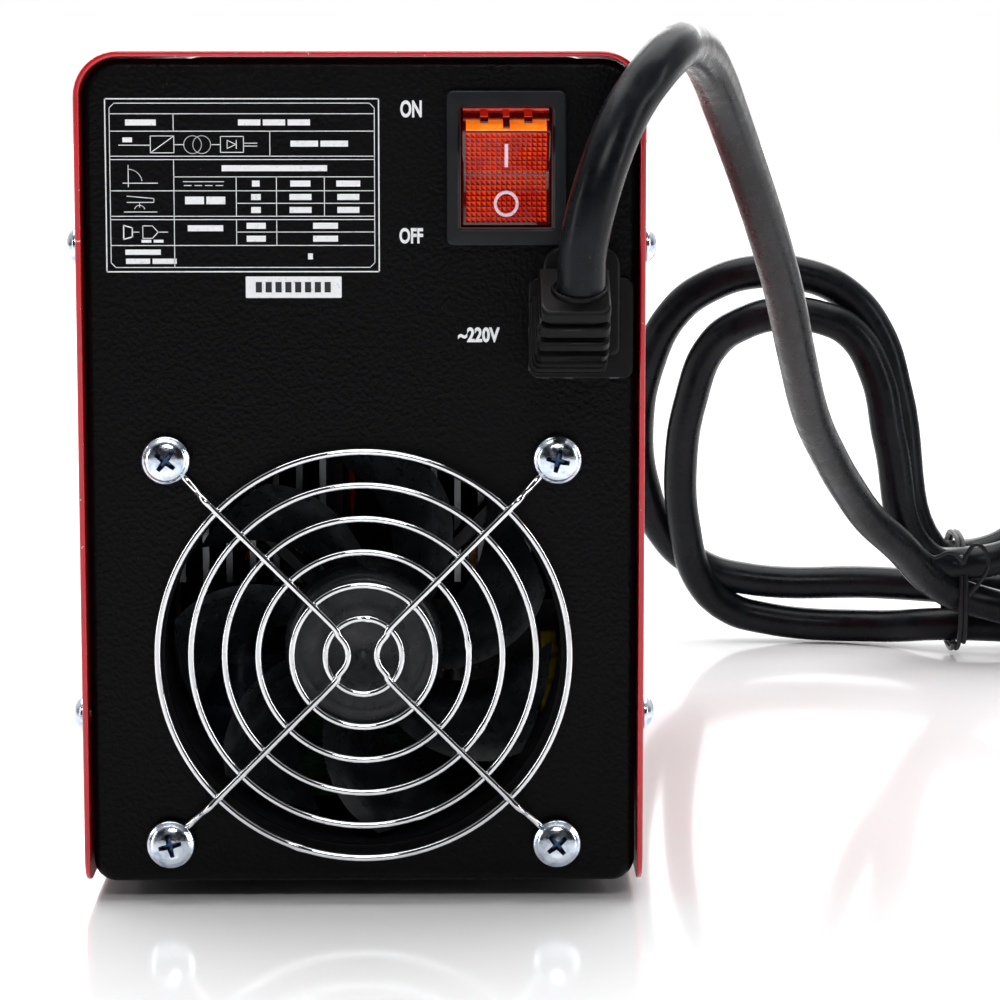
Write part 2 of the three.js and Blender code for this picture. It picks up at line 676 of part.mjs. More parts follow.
// The tied hank: two standing lobes of looped cord joined by a narrow waist that the tie goes round.
function makeHank() {
  const lobes = HANK_LOBES.map(({ x, reachX, reachZ }) => {
    const shape = new THREE.Shape();
    shape.absellipse(x, reachZ, reachX, reachZ, 0, Math.PI * 2);
    return slabXZ(shape, HANK_FRONT_Y + 6, HANK_BACK_Y - 6, {
      curveSegments: 16,
      bevelEnabled: true,
      bevelThickness: 6,
      bevelSize: 5,
      bevelOffset: -5,
      bevelSegments: 1,
    });
  });
  return join([...lobes, block(HANK_WAIST.x, HANK_WAIST.y, HANK_WAIST.z)]);
}

function makeCableTie() {
  const { middle, y, z } = HANK_WAIST;
  const around = (halfWidth, clearance) => {
    return block(
      [middle - halfWidth, middle + halfWidth],
      [y[0] - clearance, y[1] + clearance],
      [z[0] - clearance, z[1] + clearance],
    );
  };
  const band = cut(around(1.6, GAP + 1.8), [around(2.6, GAP)]);
  const twist = block([middle - 1.2, middle + 1.2], [y[0] - 8, y[0] - 1.5], [30, 33]);
  return join([band, twist]);
}

function makePlugBody() {
  const rear = HANK_FRONT_Y - GAP;
  return turnedAlongY(
    [
      [0, rear - PLUG_LENGTH],
      [16, rear - PLUG_LENGTH],
      [18.5, rear - 34],
      [18.5, rear - 24],
      [15, rear - 19],
      [11, rear - 12],
      [7.5, rear],
      [0, rear],
    ],
    [PLUG_X, PLUG_Z],
    18,
  );
}

function makePlugPin(offsetX) {
  const root = HANK_FRONT_Y - GAP - PLUG_LENGTH - GAP;
  return turnedAlongY(
    [
      [0, root - PIN_LENGTH],
      [1.4, root - PIN_LENGTH],
      [2.4, root - PIN_LENGTH + 1.4],
      [2.4, root],
      [0, root],
    ],
    [PLUG_X + offsetX, PLUG_Z],
    12,
  );
}

addPart('strain_relief', makeStrainRelief(), FINISH.rubber);
addPart('strain_relief_nut', makeReliefNut(), FINISH.blackPlastic);
addPart('mains_cable_lead', tubeAlong(smoothCurve(LEAD_ROUTE), CORD_RADIUS, 8, 42), FINISH.rubber);
addPart('mains_cable_hank', makeHank(), FINISH.rubber);
addPart('cable_tie', makeCableTie(), FINISH.blackPlastic);
addPart('plug_body', makePlugBody(), FINISH.rubber);
addPart('plug_pin_1', makePlugPin(-PIN_OFFSET), FINISH.brass);
addPart('plug_pin_2', makePlugPin(PIN_OFFSET), FINISH.brass);

// ---- front controls and output sockets ----------------------------------------------------------

function makePotentiometer() {
  const body = bar('y', 8.5, [108, 120.3], [0, KNOB_Z], 20);
  const bushing = bar('y', 4.2, [119, 126.4], [0, KNOB_Z], 16);
  const bore = bar('y', 3.2, [111.7, 130], [0, KNOB_Z], 16);
  return cut(join([body, bushing]), [bore]);
}

function makeKnob() {
  const rear = 127;
  const cap = turnedAlongY(
    [
      [0, rear + 14.5],
      [KNOB_RADIUS - 3, rear + 14.5],
      [KNOB_RADIUS - 1.6, rear + 13.4],
      [KNOB_RADIUS - 0.6, rear + 3],
      [KNOB_RADIUS + 1, rear + 2],
      [KNOB_RADIUS + 1, rear],
      [0, rear],
    ].reverse(),
    [0, KNOB_Z],
    24,
  );
  const pointer = block([-0.7, 0.7], [rear + 13.7, rear + 16], [KNOB_Z + 2, KNOB_Z + KNOB_RADIUS]);
  const bore = bar('y', 3.2, [rear - 1, rear + 10.5], [0, KNOB_Z], 16);
  return cut(cap, [pointer, bore]);
}

function makeSocketHousing(x) {
  return turnedAlongY(
    [
      [8.4, 108],
      [12, 108],
      [12, FRONT_FACE_Y + GAP],
      [17, FRONT_FACE_Y + GAP],
      [17, FRONT_FACE_Y + 5],
      [15, FRONT_FACE_Y + 7],
      [14, SOCKET_REACH_Y],
      [8.4, SOCKET_REACH_Y],
      [8.4, 108],
    ],
    [x, SOCKET_Z],
    20,
  );
}

function makeSocketInsert(x) {
  return turnedAlongY(
    [
      [0, 100],
      [8, 100],
      [8, 133],
      [4.6, 133],
      [4.6, 110],
      [0, 110],
    ],
    [x, SOCKET_Z],
    20,
  );
}

function makeLed([x, z]) {
  return turnedAlongY(
    [
      [0, 112],
      [2.5, 112],
      [2.5, 123],
      [1.8, 124.4],
      [0, 125],
    ],
    [x, z],
    14,
  );
}

addPart('potentiometer', makePotentiometer(), FINISH.aluminium);
addPart('knob_shaft', bar('y', 2.9, [112, 137.2], [0, KNOB_Z], 14), FINISH.aluminium);
addPart('current_knob', makeKnob(), FINISH.blackPlastic);
addPart('display_window', block(WINDOW.x, [119.8, 122.7], WINDOW.z), FINISH.smokedLens);
addPart('led_power', makeLed(LED_PLACES[0]), FINISH.greenLens);
addPart('led_fault', makeLed(LED_PLACES[1]), FINISH.amberLens);

for (const [name, x] of [['negative', -SOCKET_X], ['positive', SOCKET_X]]) {
  addPart(`socket_${name}_housing`, makeSocketHousing(x), FINISH.blackPlastic);
  addPart(`socket_${name}_insert`, makeSocketInsert(x), FINISH.brass);
  const riser = block([x - 6, x + 6], [97.9, 99.7], [BOARD_Z + 1.9, SOCKET_Z + 8]);
  const tail = block([x - 6, x + 6], [84, 99], [BOARD_Z + 1.9, BOARD_Z + 3.5]);
  addPart(`busbar_${name}`, join([riser, tail]), FINISH.copper);
}

// ---- electronics --------------------------------------------------------------------------------

const BOARD_TOP = BOARD_Z + 1.6;
const ON_BOARD = BOARD_TOP + GAP;

addPart('power_board', block([-50, 50], [-72, 101], [BOARD_Z, BOARD_TOP]), FINISH.greenBoard);
addPart('control_board', block([-44, 44], [109, 110.6], [120, 172]), FINISH.greenBoard);

let standoffNumber = 0;
for (const x of [-45, 45]) {
  for (const y of [-66, 94]) {
    standoffNumber += 1;
    const standoff = bar('z', 3, [7 + GAP, BOARD_Z - GAP], [x, y], 6);
    addPart(`board_standoff_${standoffNumber}`, standoff, FINISH.brass);
  }
}

// A heatsink stands on a side web and hangs its fins from a top plate; side is -1 left or 1 right.
function makeHeatsink(side) {
  const finCount = 8;
  const finPitch = 5.2;
  const edge = (value) => side * value;
  const ordered = (a, b) => [Math.min(a, b), Math.max(a, b)];
  const y = [-84, 22];
  const pieces = [
    block(ordered(edge(50), edge(53)), y, [ON_BOARD, 100]),
    block(ordered(edge(9), edge(53)), y, [96.5, 100]),
  ];
  for (let fin = 0; fin < finCount; fin += 1) {
    const x = 9 + fin * finPitch;
    pieces.push(block(ordered(edge(x), edge(x + 1.4)), y, [64, 97]));
  }
  return join(pieces);
}

addPart('heatsink_left', makeHeatsink(-1), FINISH.aluminium);
addPart('heatsink_right', makeHeatsink(1), FINISH.aluminium);

const TRANSFORMER = { x: 30, y: -56, low: ON_BOARD, high: ON_BOARD + 42 };

function makeTransformerCore() {
  const { x, y, low, high } = TRANSFORMER;
  const frame = block([x - 18, x + 18], [y - 8, y + 8], [low, high]);
  const windows = [
    block([x - 13.5, x - 6], [y - 9, y + 9], [low + 6, high - 6]),
    block([x + 6, x + 13.5], [y - 9, y + 9], [low + 6, high - 6]),
  ];
  return cut(frame, windows);
}

function makeTransformerWinding() {
  const { x, y, low, high } = TRANSFORMER;
  const coil = block([x - 13.2, x + 13.2], [y - 15.5, y + 15.5], [low + 6 + GAP, high - 6 - GAP]);
  const post = block([x - 6 - GAP, x + 6 + GAP], [y - 8 - GAP, y + 8 + GAP], [low, high]);
  return cut(coil, [post]);
}

addPart('transformer_core', makeTransformerCore(), FINISH.ferrite);
addPart('transformer_winding', makeTransformerWinding(), FINISH.yellowTape);

[-46, -14].forEach((y, index) => {
  const can = bar('z', 12.5, [ON_BOARD, ON_BOARD + 42], [-30, y], 24);
  addPart(`capacitor_${index + 1}`, can, FINISH.capSleeve);
});

function makeChoke() {
  const ring = new THREE.LatheGeometry(
    [
      [10, 0],
      [20, 0],
      [22, 2],
      [22, 16],
      [20, 18],
      [10, 18],
      [10, 0],
    ].map(([radius, height]) => new THREE.Vector2(radius, height)),
    20,
  );
  return ring.rotateX(Math.PI / 2).translate(26, 2, ON_BOARD);
}

addPart('output_choke', makeChoke(), FINISH.copper);
addPart('bridge_rectifier', block([-44, -16], [30, 58], [ON_BOARD, ON_BOARD + 10]), FINISH.blackPlastic);

const FAN_LEAD_ROUTE = [
  [7, FAN_INNER_Y + 1.8, FAN_CENTRE_Z + 14],
  [6.5, FAN_INNER_Y + 2.4, 86],
  [5.5, FAN_INNER_Y + 3, 98],
  [2, -78, 108],
  [-4, -66, 106],
  [-4.5, -62, 92],
  [-4.5, -60, 60],
  [-4.5, -60, 30],
  [-4.5, -60, ON_BOARD],
];
addPart('fan_lead', tubeAlong(smoothCurve(FAN_LEAD_ROUTE), 1.3, 6, 24), FINISH.redWire);

export default welder;
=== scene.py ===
"""Looks of a compact inverter stick welder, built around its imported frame.

Every piece is made in metres in the frame's own axes: +Z up, the rear panel with the fan and the power
switch facing -Y, the front panel with the knob and the output sockets facing +Y.
"""

import json
import math

import bmesh
import bpy
from mathutils import Matrix, Vector


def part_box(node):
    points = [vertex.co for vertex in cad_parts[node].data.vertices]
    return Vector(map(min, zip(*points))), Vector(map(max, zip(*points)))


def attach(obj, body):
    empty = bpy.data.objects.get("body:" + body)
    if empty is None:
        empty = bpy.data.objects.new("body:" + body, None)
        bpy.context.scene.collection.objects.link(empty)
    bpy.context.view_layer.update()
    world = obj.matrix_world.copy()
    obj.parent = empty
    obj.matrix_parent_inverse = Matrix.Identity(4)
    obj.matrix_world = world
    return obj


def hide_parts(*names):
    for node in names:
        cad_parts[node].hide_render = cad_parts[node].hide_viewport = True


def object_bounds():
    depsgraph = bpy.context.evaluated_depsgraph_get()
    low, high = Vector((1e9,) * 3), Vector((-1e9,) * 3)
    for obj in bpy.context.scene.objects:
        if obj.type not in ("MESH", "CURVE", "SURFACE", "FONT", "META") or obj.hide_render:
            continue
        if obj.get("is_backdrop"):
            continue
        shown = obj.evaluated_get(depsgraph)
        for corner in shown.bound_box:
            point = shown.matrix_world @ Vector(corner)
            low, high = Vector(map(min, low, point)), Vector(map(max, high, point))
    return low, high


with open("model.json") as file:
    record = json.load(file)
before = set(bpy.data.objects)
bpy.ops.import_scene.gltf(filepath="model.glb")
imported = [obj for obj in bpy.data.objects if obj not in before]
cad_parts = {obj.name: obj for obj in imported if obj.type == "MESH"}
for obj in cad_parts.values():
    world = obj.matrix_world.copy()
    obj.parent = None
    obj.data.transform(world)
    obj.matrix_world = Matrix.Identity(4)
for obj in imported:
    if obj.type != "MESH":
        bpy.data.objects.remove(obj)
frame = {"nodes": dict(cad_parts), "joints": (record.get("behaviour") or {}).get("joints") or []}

bl_info = {
    "name": "Stick Welder Looks",
    "version": (1, 0, 0),
    "blender": (4, 5, 0),
    "location": "View3D > Sidebar > Stick Welder",
    "description": "Builds the detailed pieces, finishes and studio of an inverter stick welder",
    "category": "Object",
}

MM = 0.001
TAU = math.tau

# ---- places taken from the frame ------------------------------------------------------------------

CAD_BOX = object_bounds()
JOINT_PLACE = {joint["name"]: Vector(joint["pos_m"]) for joint in frame["joints"]}
FAN_CENTRE = JOINT_PLACE["fan_spin"]
ROCKER_PIVOT = JOINT_PLACE["power_rocker"]
KNOB_CENTRE = JOINT_PLACE["current_turn"]
COVER_LOW, COVER_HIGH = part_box("top_cover")
PANEL_LOW, PANEL_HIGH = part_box("rear_panel")
FRONT_LOW, FRONT_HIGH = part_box("front_panel")
FAN_LOW, FAN_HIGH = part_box("fan_frame")
REAR_Y = PANEL_LOW.y
FRONT_Y = FRONT_HIGH.y
GUARD_SCREWS = [f"guard_screw_{number}" for number in range(1, 5)]
COVER_SCREWS = [f"cover_screw_{number}" for number in range(1, 9)]

# The cord's free run from the boot over the cover's corner and down to the hank, as in the frame.
LEAD_ROUTE = [
    (0.0455, -0.1356, 0.1334),
    (0.0457, -0.1376, 0.1400),
    (0.0468, -0.1388, 0.1465),
    (0.0485, -0.1384, 0.1530),
    (0.0506, -0.1368, 0.1593),
    (0.0532, -0.1342, 0.1655),
    (0.0565, -0.1306, 0.1714),
    (0.0608, -0.1266, 0.1770),
    (0.0652, -0.1180, 0.1812),
    (0.0684, -0.1040, 0.1825),
    (0.0728, -0.0860, 0.1808),
    (0.0774, -0.0665, 0.1752),
    (0.0814, -0.0500, 0.1678),
    (0.0852, -0.0365, 0.1600),
    (0.0915, -0.0160, 0.1465),
    (0.0963, 0.0005, 0.1355),
    (0.1020, 0.0220, 0.1210),
    (0.1080, 0.0490, 0.1030),
    (0.1155, 0.0810, 0.0830),
    (0.1225, 0.1030, 0.0705),
    (0.1310, 0.1260, 0.0575),
    (0.1390, 0.1410, 0.0470),
    (0.1480, 0.1515, 0.0385),
]
HANK_WAIST_X = 0.170


# ---- sizes and colours that a user would change ---------------------------------------------------


def length(name, description, default):
    return bpy.props.FloatProperty(
        name=name, description=description, default=default, min=0.0, unit="LENGTH", precision=5
    )


def colour(name, description, default):
    return bpy.props.FloatVectorProperty(
        name=name, description=description, default=default, size=3, min=0.0, max=1.0, subtype="COLOR"
    )


class WelderSizes(bpy.types.PropertyGroup):
    """Sizes of the pieces that are made here."""

    sheet: length("Sheet", "Thickness of the folded steel", 1.2 * MM)
    cover_bend: length("Cover bend", "Outer radius between the cover's top and sides", 9.5 * MM)
    panel_bend: length("Panel bend", "Outer radius round the panels' faces", 2.0 * MM)
    panel_flange: length("Panel flange", "Depth of the panels' folded edges", 14.0 * MM)
    fan_hole: length("Fan hole", "Radius of the hole in the rear panel", 42.0 * MM)
    guard_wire: length("Guard wire", "Radius of the guard's wire", 0.76 * MM)
    guard_ring: length("Guard ring", "Radius of the guard's outer ring", 43.6 * MM)
    guard_pitch: length("Guard pitch", "Step from one ring to the next", 7.1 * MM)
    hub: length("Hub", "Radius of the rotor's hub", 17.0 * MM)
    blade_tip: length("Blade tip", "Radius of the blades' tips", 40.8 * MM)
    cord: length("Cord", "Radius of the mains cord", 5.0 * MM)
    print_height: length("Print height", "How far printed ink stands off its panel", 0.06 * MM)


class WelderColours(bpy.types.PropertyGroup):
    """Colours of the finishes."""

    red_paint: colour("Red paint", "Gloss paint on the cover", (0.52, 0.006, 0.014))
    powder_coat: colour("Powder coat", "Black powder coat on the panels", (0.0012, 0.0012, 0.0018))
    black_plastic: colour("Black plastic", "Moulded plastic", (0.0055, 0.0064, 0.0084))
    rubber: colour("Rubber", "Cord, boot and feet", (0.0038, 0.0044, 0.0058))
    rocker: colour("Rocker", "Lit lens of the rocker", (0.88, 0.055, 0.006))
    ink: colour("Ink", "White printing", (0.85, 0.86, 0.88))
    zinc: colour("Zinc", "Bright zinc on the screws", (0.70, 0.77, 0.86))
    chrome: colour("Chrome", "Plating on the guard", (0.74, 0.75, 0.77))
    aluminium: colour("Aluminium", "Heatsinks and shafts", (0.36, 0.37, 0.39))
    brass: colour("Brass", "Socket inserts and plug pins", (0.78, 0.56, 0.22))
    copper: colour("Copper", "Busbars and windings", (0.72, 0.32, 0.16))
    floor: colour("Floor", "Studio floor", (0.90, 0.90, 0.91))


def sizes():
    return bpy.context.scene.welder_sizes


def colours():
    return bpy.context.scene.welder_colours


# ---- finishes -------------------------------------------------------------------------------------


class Finish:
    """A node material in the making: one Principled shader and the detail that feeds it."""

    def __init__(self, name, base, roughness, metallic=0.0, specular=0.5):
        self.material = bpy.data.materials.new(name)
        self.material.use_nodes = True
        self.tree = self.material.node_tree
        self.shader = self.tree.nodes["Principled BSDF"]
        self.base = (*base, 1.0)
        self.put("Base Color", self.base)
        self.put("Roughness", roughness)
        self.put("Metallic", metallic)
        self.put("Specular IOR Level", specular)
        self.place = self.tree.nodes.new("ShaderNodeTexCoord").outputs["Object"]

    def put(self, socket, value):
        """Sets one of the shader's sockets, or links it to an output."""
        if isinstance(value, bpy.types.NodeSocket):
            self.tree.links.new(value, self.shader.inputs[socket])
        else:
            self.shader.inputs[socket].default_value = value
        return self

    def node(self, kind, **inputs):
        made = self.tree.nodes.new(kind)
        for name, value in inputs.items():
            socket = made.inputs[name.replace("_", " ")]
            if isinstance(value, bpy.types.NodeSocket):
                self.tree.links.new(value, socket)
            else:
                socket.default_value = value
        return made

    def stretched(self, factors):
        """The object's own coordinates, scaled unevenly."""
        made = self.node("ShaderNodeMapping", Vector=self.place)
        made.inputs["Scale"].default_value = factors
        return made.outputs["Vector"]

    def noise(self, grain, detail=3.0, roughness=0.55, place=None):
        """Cloudy values from 0 to 1 with features about grain metres across."""
        made = self.node(
            "ShaderNodeTexNoise",
            Vector=place or self.place,
            Scale=1.0 / grain,
            Detail=detail,
            Roughness=roughness,
        )
        return made.outputs["Fac"]

    def cells(self, grain, place=None):
        """Distance to the nearest of scattered points about grain metres apart."""
        made = self.node("ShaderNodeTexVoronoi", Vector=place or self.place, Scale=1.0 / grain)
        return made.outputs["Distance"]

    def waves(self, grain, axis="Z", distortion=0.0):
        """Parallel bands about grain metres apart."""
        made = self.node("ShaderNodeTexWave", Vector=self.place, Scale=0.314 / grain, Distortion=distortion)
        made.bands_direction = axis
        return made.outputs["Fac"]

    def spread(self, value, low, high, to_low=0.0, to_high=1.0):
        made = self.node("ShaderNodeMapRange", Value=value)
        made.interpolation_type = "SMOOTHSTEP"
        made.inputs["From Min"].default_value = low
        made.inputs["From Max"].default_value = high
        made.inputs["To Min"].default_value = to_low
        made.inputs["To Max"].default_value = to_high
        return made.outputs["Result"]

    def maths(self, operation, first, second):
        made = self.tree.nodes.new("ShaderNodeMath")
        made.operation = operation
        for socket, value in zip(made.inputs, (first, second)):
            if isinstance(value, bpy.types.NodeSocket):
                self.tree.links.new(value, socket)
            else:
                socket.default_value = value
        return made.outputs[0]

    def along(self, axis):
        """The object's own coordinate along X, Y or Z, in metres."""
        return self.node("ShaderNodeSeparateXYZ", Vector=self.place).outputs[axis]

    def tint(self, factor, other, base=None):
        """The base colour mixed towards another one."""
        made = self.tree.nodes.new("ShaderNodeMix")
        made.data_type = "RGBA"
        self.tree.links.new(factor, made.inputs["Factor"])
        first = base if base is not None else self.base
        for socket, value in ((made.inputs[6], first), (made.inputs[7], other)):
            if isinstance(value, bpy.types.NodeSocket):
                self.tree.links.new(value, socket)
            else:
                socket.default_value = (*value[:3], 1.0)
        return made.outputs[2]

    def bump(self, height, depth, strength=1.0):
        """Relief whose full height is about depth metres."""
        made = self.node("ShaderNodeBump", Height=height, Distance=depth, Strength=strength)
        self.tree.links.new(made.outputs["Normal"], self.shader.inputs["Normal"])
        return self


def shade(base, factor):
    """A colour made lighter or darker."""
    return tuple(min(1.0, channel * factor) for channel in base)


def red_gloss_paint():
    """Gloss enamel with slight orange peel, and bare chips along the cover's cut edges."""
    finish = Finish("red_gloss_paint", colours().red_paint, 0.24)
    finish.put("Coat Weight", 0.5)
    finish.put("Coat Roughness", 0.06)
    cloud = finish.noise(18 * MM)
    deep = finish.tint(finish.spread(cloud, 0.3, 0.75), shade(colours().red_paint, 0.93))
    from_rear = finish.maths("ABSOLUTE", finish.maths("SUBTRACT", finish.along("Y"), COVER_LOW.y), 0.0)
    from_front = finish.maths("ABSOLUTE", finish.maths("SUBTRACT", finish.along("Y"), COVER_HIGH.y), 0.0)
    from_edge = finish.maths("MINIMUM", from_rear, from_front)
    near_edge = finish.spread(from_edge, 0.15 * MM, 0.75 * MM, 1.0, 0.0)
    flecks = finish.spread(finish.noise(1.1 * MM, detail=2.0), 0.72, 0.75)
    chips = finish.maths("MULTIPLY", near_edge, flecks)
    finish.put("Base Color", finish.tint(chips, (0.62, 0.55, 0.54), deep))
    finish.put("Roughness", finish.spread(finish.noise(9 * MM), 0.3, 0.7, 0.22, 0.27))
    peel = finish.noise(1.3 * MM, detail=0.0)
    return finish.bump(peel, 0.010 * MM).material


def black_powder_coat():
    """Black powder coat with a fine leathery grain, a few dust specks and faint handling marks."""
    finish = Finish("black_powder_coat", colours().powder_coat, 0.42, specular=0.09)
    specks = finish.spread(finish.cells(3.4 * MM), 0.0, 0.05, 1.0, 0.0)
    dust = finish.maths("MULTIPLY", specks, finish.spread(finish.noise(9 * MM), 0.5, 0.6))
    finish.put("Base Color", finish.tint(dust, (0.06, 0.06, 0.065)))
    smear = finish.noise(22 * MM, detail=4.0, place=finish.stretched((1.0, 1.0, 0.45)))
    finish.put("Roughness", finish.spread(smear, 0.3, 0.7, 0.32, 0.42))
    grain = finish.noise(0.85 * MM, detail=2.0, roughness=0.6)
    leather = finish.cells(1.15 * MM)
    height = finish.maths("ADD", grain, finish.maths("MULTIPLY", leather, 0.55))
    return finish.bump(height, 0.14 * MM).material


def moulded_plastic(name="moulded_black_plastic", base=None, roughness=0.38, grain=0.35 * MM):
    """Moulded plastic with a fine spark-eroded grain."""
    base = base or colours().black_plastic
    finish = Finish(name, base, roughness, specular=0.24)
    finish.put("Base Color", finish.tint(finish.spread(finish.noise(14 * MM), 0.4, 0.75), shade(base, 1.5)))
    finish.put("Roughness", finish.spread(finish.noise(5 * MM), 0.3, 0.7, roughness - 0.06, roughness + 0.08))
    return finish.bump(finish.noise(grain, detail=2.0), 0.02 * MM).material


def blade_plastic():
    """Glass-filled plastic of the fan with its cloudy flow marks."""
    finish = Finish("fan_blade_plastic", (0.008, 0.009, 0.011), 0.34, specular=0.36)
    flow = finish.noise(7 * MM, detail=5.0, roughness=0.65)
    finish.put("Base Color", finish.tint(finish.spread(flow, 0.45, 0.75), (0.026, 0.028, 0.033)))
    finish.put("Roughness", finish.spread(finish.noise(2.5 * MM), 0.3, 0.7, 0.24, 0.4))
    return finish.bump(finish.noise(0.5 * MM, detail=3.0), 0.03 * MM).material


def cord_rubber():
    """Satin black rubber sheath with a faint bloom, fine pores and scuffs."""
    finish = Finish("cord_rubber", colours().rubber, 0.30, specular=0.13)
    finish.put("Sheen Weight", 0.002)
    finish.put("Sheen Roughness", 0.45)
    bloom = finish.spread(finish.noise(16 * MM, detail=4.0), 0.4, 0.7)
    bloomed = finish.tint(bloom, (0.0075, 0.009, 0.0122))
    scuffs = finish.noise(1.4 * MM, detail=5.0, roughness=0.7, place=finish.stretched((1.0, 0.35, 0.6)))
    scuffed = finish.tint(finish.spread(scuffs, 0.68, 0.76), (0.045, 0.05, 0.06), bloomed)
    finish.put("Base Color", scuffed)
    finish.put("Roughness", finish.spread(finish.noise(4 * MM, detail=4.0), 0.3, 0.7, 0.24, 0.36))
    return finish.bump(finish.noise(0.7 * MM, detail=3.0), 0.03 * MM).material


def boot_rubber():
    """Moulded rubber of the boot and the plug, with painted bluish highlights in patches along its sharp edges."""
    finish = Finish("boot_rubber", (0.0026, 0.0024, 0.0026), 0.34, specular=0.15)
    # Painted highlight: sharp convex edges turn bluish grey in patches, standing in for light caught on the edges.
    edges = finish.node("ShaderNodeNewGeometry").outputs["Pointiness"]
    edge_glints = finish.spread(edges, 0.58, 0.68)
    patches = finish.spread(finish.noise(2.2 * MM, detail=3.0), 0.50, 0.66)
    finish.put("Base Color", finish.tint(finish.maths("MULTIPLY", edge_glints, patches), (0.05, 0.052, 0.06)))
    finish.put("Roughness", finish.spread(finish.noise(3 * MM, detail=4.0), 0.3, 0.7, 0.32, 0.5))
    return finish.bump(finish.noise(0.6 * MM, detail=3.0), 0.03 * MM).material


def foot_rubber():
    """Dull rubber of the feet with grit pressed into it."""
    finish = Finish("foot_rubber", shade(colours().rubber, 1.2), 0.8, specular=0.3)
    grit = finish.spread(finish.noise(1.2 * MM, detail=4.0), 0.58, 0.7)
    finish.put("Base Color", finish.tint(grit, (0.05, 0.05, 0.048)))
    return finish.bump(finish.noise(0.8 * MM, detail=3.0), 0.06 * MM).material


def chrome_wire():
    """Bright plating with faint drawing lines and small dull spots."""
    finish = Finish("chrome_wire", colours().chrome, 0.06, metallic=1.0)
    spots = finish.spread(finish.noise(0.9 * MM, detail=4.0), 0.62, 0.72)
    finish.put("Base Color", finish.tint(spots, (0.45, 0.43, 0.42)))
    finish.put("Roughness", finish.spread(finish.noise(2.0 * MM, detail=4.0), 0.35, 0.75, 0.03, 0.12))
    return finish.bump(finish.noise(3.0 * MM, detail=1.0), 0.006 * MM).material


def zinc_plate():
    """Bright bluish zinc with a mottled, slightly dented head."""
    finish = Finish("zinc_plate", colours().zinc, 0.16, metallic=1.0)
    mottle = finish.noise(2.2 * MM, detail=5.0, roughness=0.6)
    finish.put("Base Color", finish.tint(finish.spread(mottle, 0.45, 0.72), (0.34, 0.42, 0.56)))
    finish.put("Roughness", finish.spread(finish.noise(1.2 * MM, detail=4.0), 0.3, 0.7, 0.10, 0.26))
    return finish.bump(finish.noise(1.5 * MM, detail=3.0), 0.05 * MM).material


def turned_metal(name, base, roughness, grain=0.12 * MM):
    """Metal with fine machining lines."""
    finish = Finish(name, base, roughness, metallic=1.0)
    tarnish = finish.spread(finish.noise(6 * MM, detail=4.0), 0.4, 0.75)
    finish.put("Base Color", finish.tint(tarnish, shade(base, 0.62)))
    lines = finish.noise(grain, detail=2.0, place=finish.stretched((1.0, 0.08, 1.0)))
    finish.put("Roughness", finish.spread(lines, 0.3, 0.7, roughness - 0.07, roughness + 0.1))
    return finish.bump(lines, 0.01 * MM).material


def extruded_aluminium():
    """Extruded aluminium with die lines along its length and dull oxide patches."""
    finish = Finish("extruded_aluminium", colours().aluminium, 0.35, metallic=1.0)
    lines = finish.noise(0.5 * MM, detail=3.0, place=finish.stretched((1.0, 0.03, 1.0)))
    oxide = finish.spread(finish.noise(12 * MM, detail=4.0), 0.4, 0.7)
    finish.put("Base Color", finish.tint(oxide, (0.20, 0.205, 0.22)))
    finish.put("Roughness", finish.spread(lines, 0.3, 0.7, 0.28, 0.48))
    return finish.bump(lines, 0.02 * MM).material


def rocker_lens():
    """Glowing red-orange clear plastic, deeper in its hollows and brighter over the lamp."""
    base = colours().rocker
    finish = Finish("rocker_lens", base, 0.14, specular=0.6)
    finish.put("Coat Weight", 0.4)
    finish.put("Coat Roughness", 0.05)
    finish.put("IOR", 1.49)
    glow = finish.noise(4 * MM, detail=3.0)
    body = finish.tint(finish.spread(glow, 0.35, 0.7), (0.62, 0.012, 0.004))
    finish.put("Base Color", body)
    finish.put("Emission Color", body)
    finish.put("Emission Strength", 0.24)
    finish.put("Roughness", finish.spread(finish.noise(1.5 * MM), 0.3, 0.7, 0.10, 0.2))
    return finish.bump(finish.noise(0.8 * MM, detail=2.0), 0.01 * MM).material


def clear_lens(name, base, glow):
    """Tinted clear plastic of the display window and the lamps."""
    finish = Finish(name, base, 0.08, specular=0.5)
    finish.put("Coat Weight", 0.5)
    finish.put("Coat Roughness", 0.03)
    cloud = finish.tint(finish.spread(finish.noise(3 * MM), 0.4, 0.7), shade(base, 1.6))
    finish.put("Base Color", cloud)
    finish.put("Emission Color", cloud)
    finish.put("Emission Strength", glow)
    finish.put("Roughness", finish.spread(finish.noise(2 * MM), 0.3, 0.7, 0.05, 0.14))
    return finish.bump(finish.noise(5 * MM), 0.01 * MM).material


def printed_ink(name, base):
    """Screen-printed ink with slightly uneven cover."""
    finish = Finish(name, base, 0.5, specular=0.3)
    thin = finish.spread(finish.noise(0.8 * MM, detail=3.0), 0.55, 0.8)
    finish.put("Base Color", finish.tint(thin, shade(base, 0.72)))
    return finish.bump(finish.noise(0.3 * MM), 0.01 * MM).material


def ferrite_core():
    """Dark sintered ferrite with a rough ground face."""
    finish = Finish("ferrite_core", (0.03, 0.03, 0.033), 0.75, specular=0.35)
    finish.put("Base Color", finish.tint(finish.spread(finish.noise(2 * MM, detail=5.0), 0.4, 0.7), (0.06, 0.06, 0.064)))
    return finish.bump(finish.noise(0.6 * MM, detail=4.0), 0.08 * MM).material


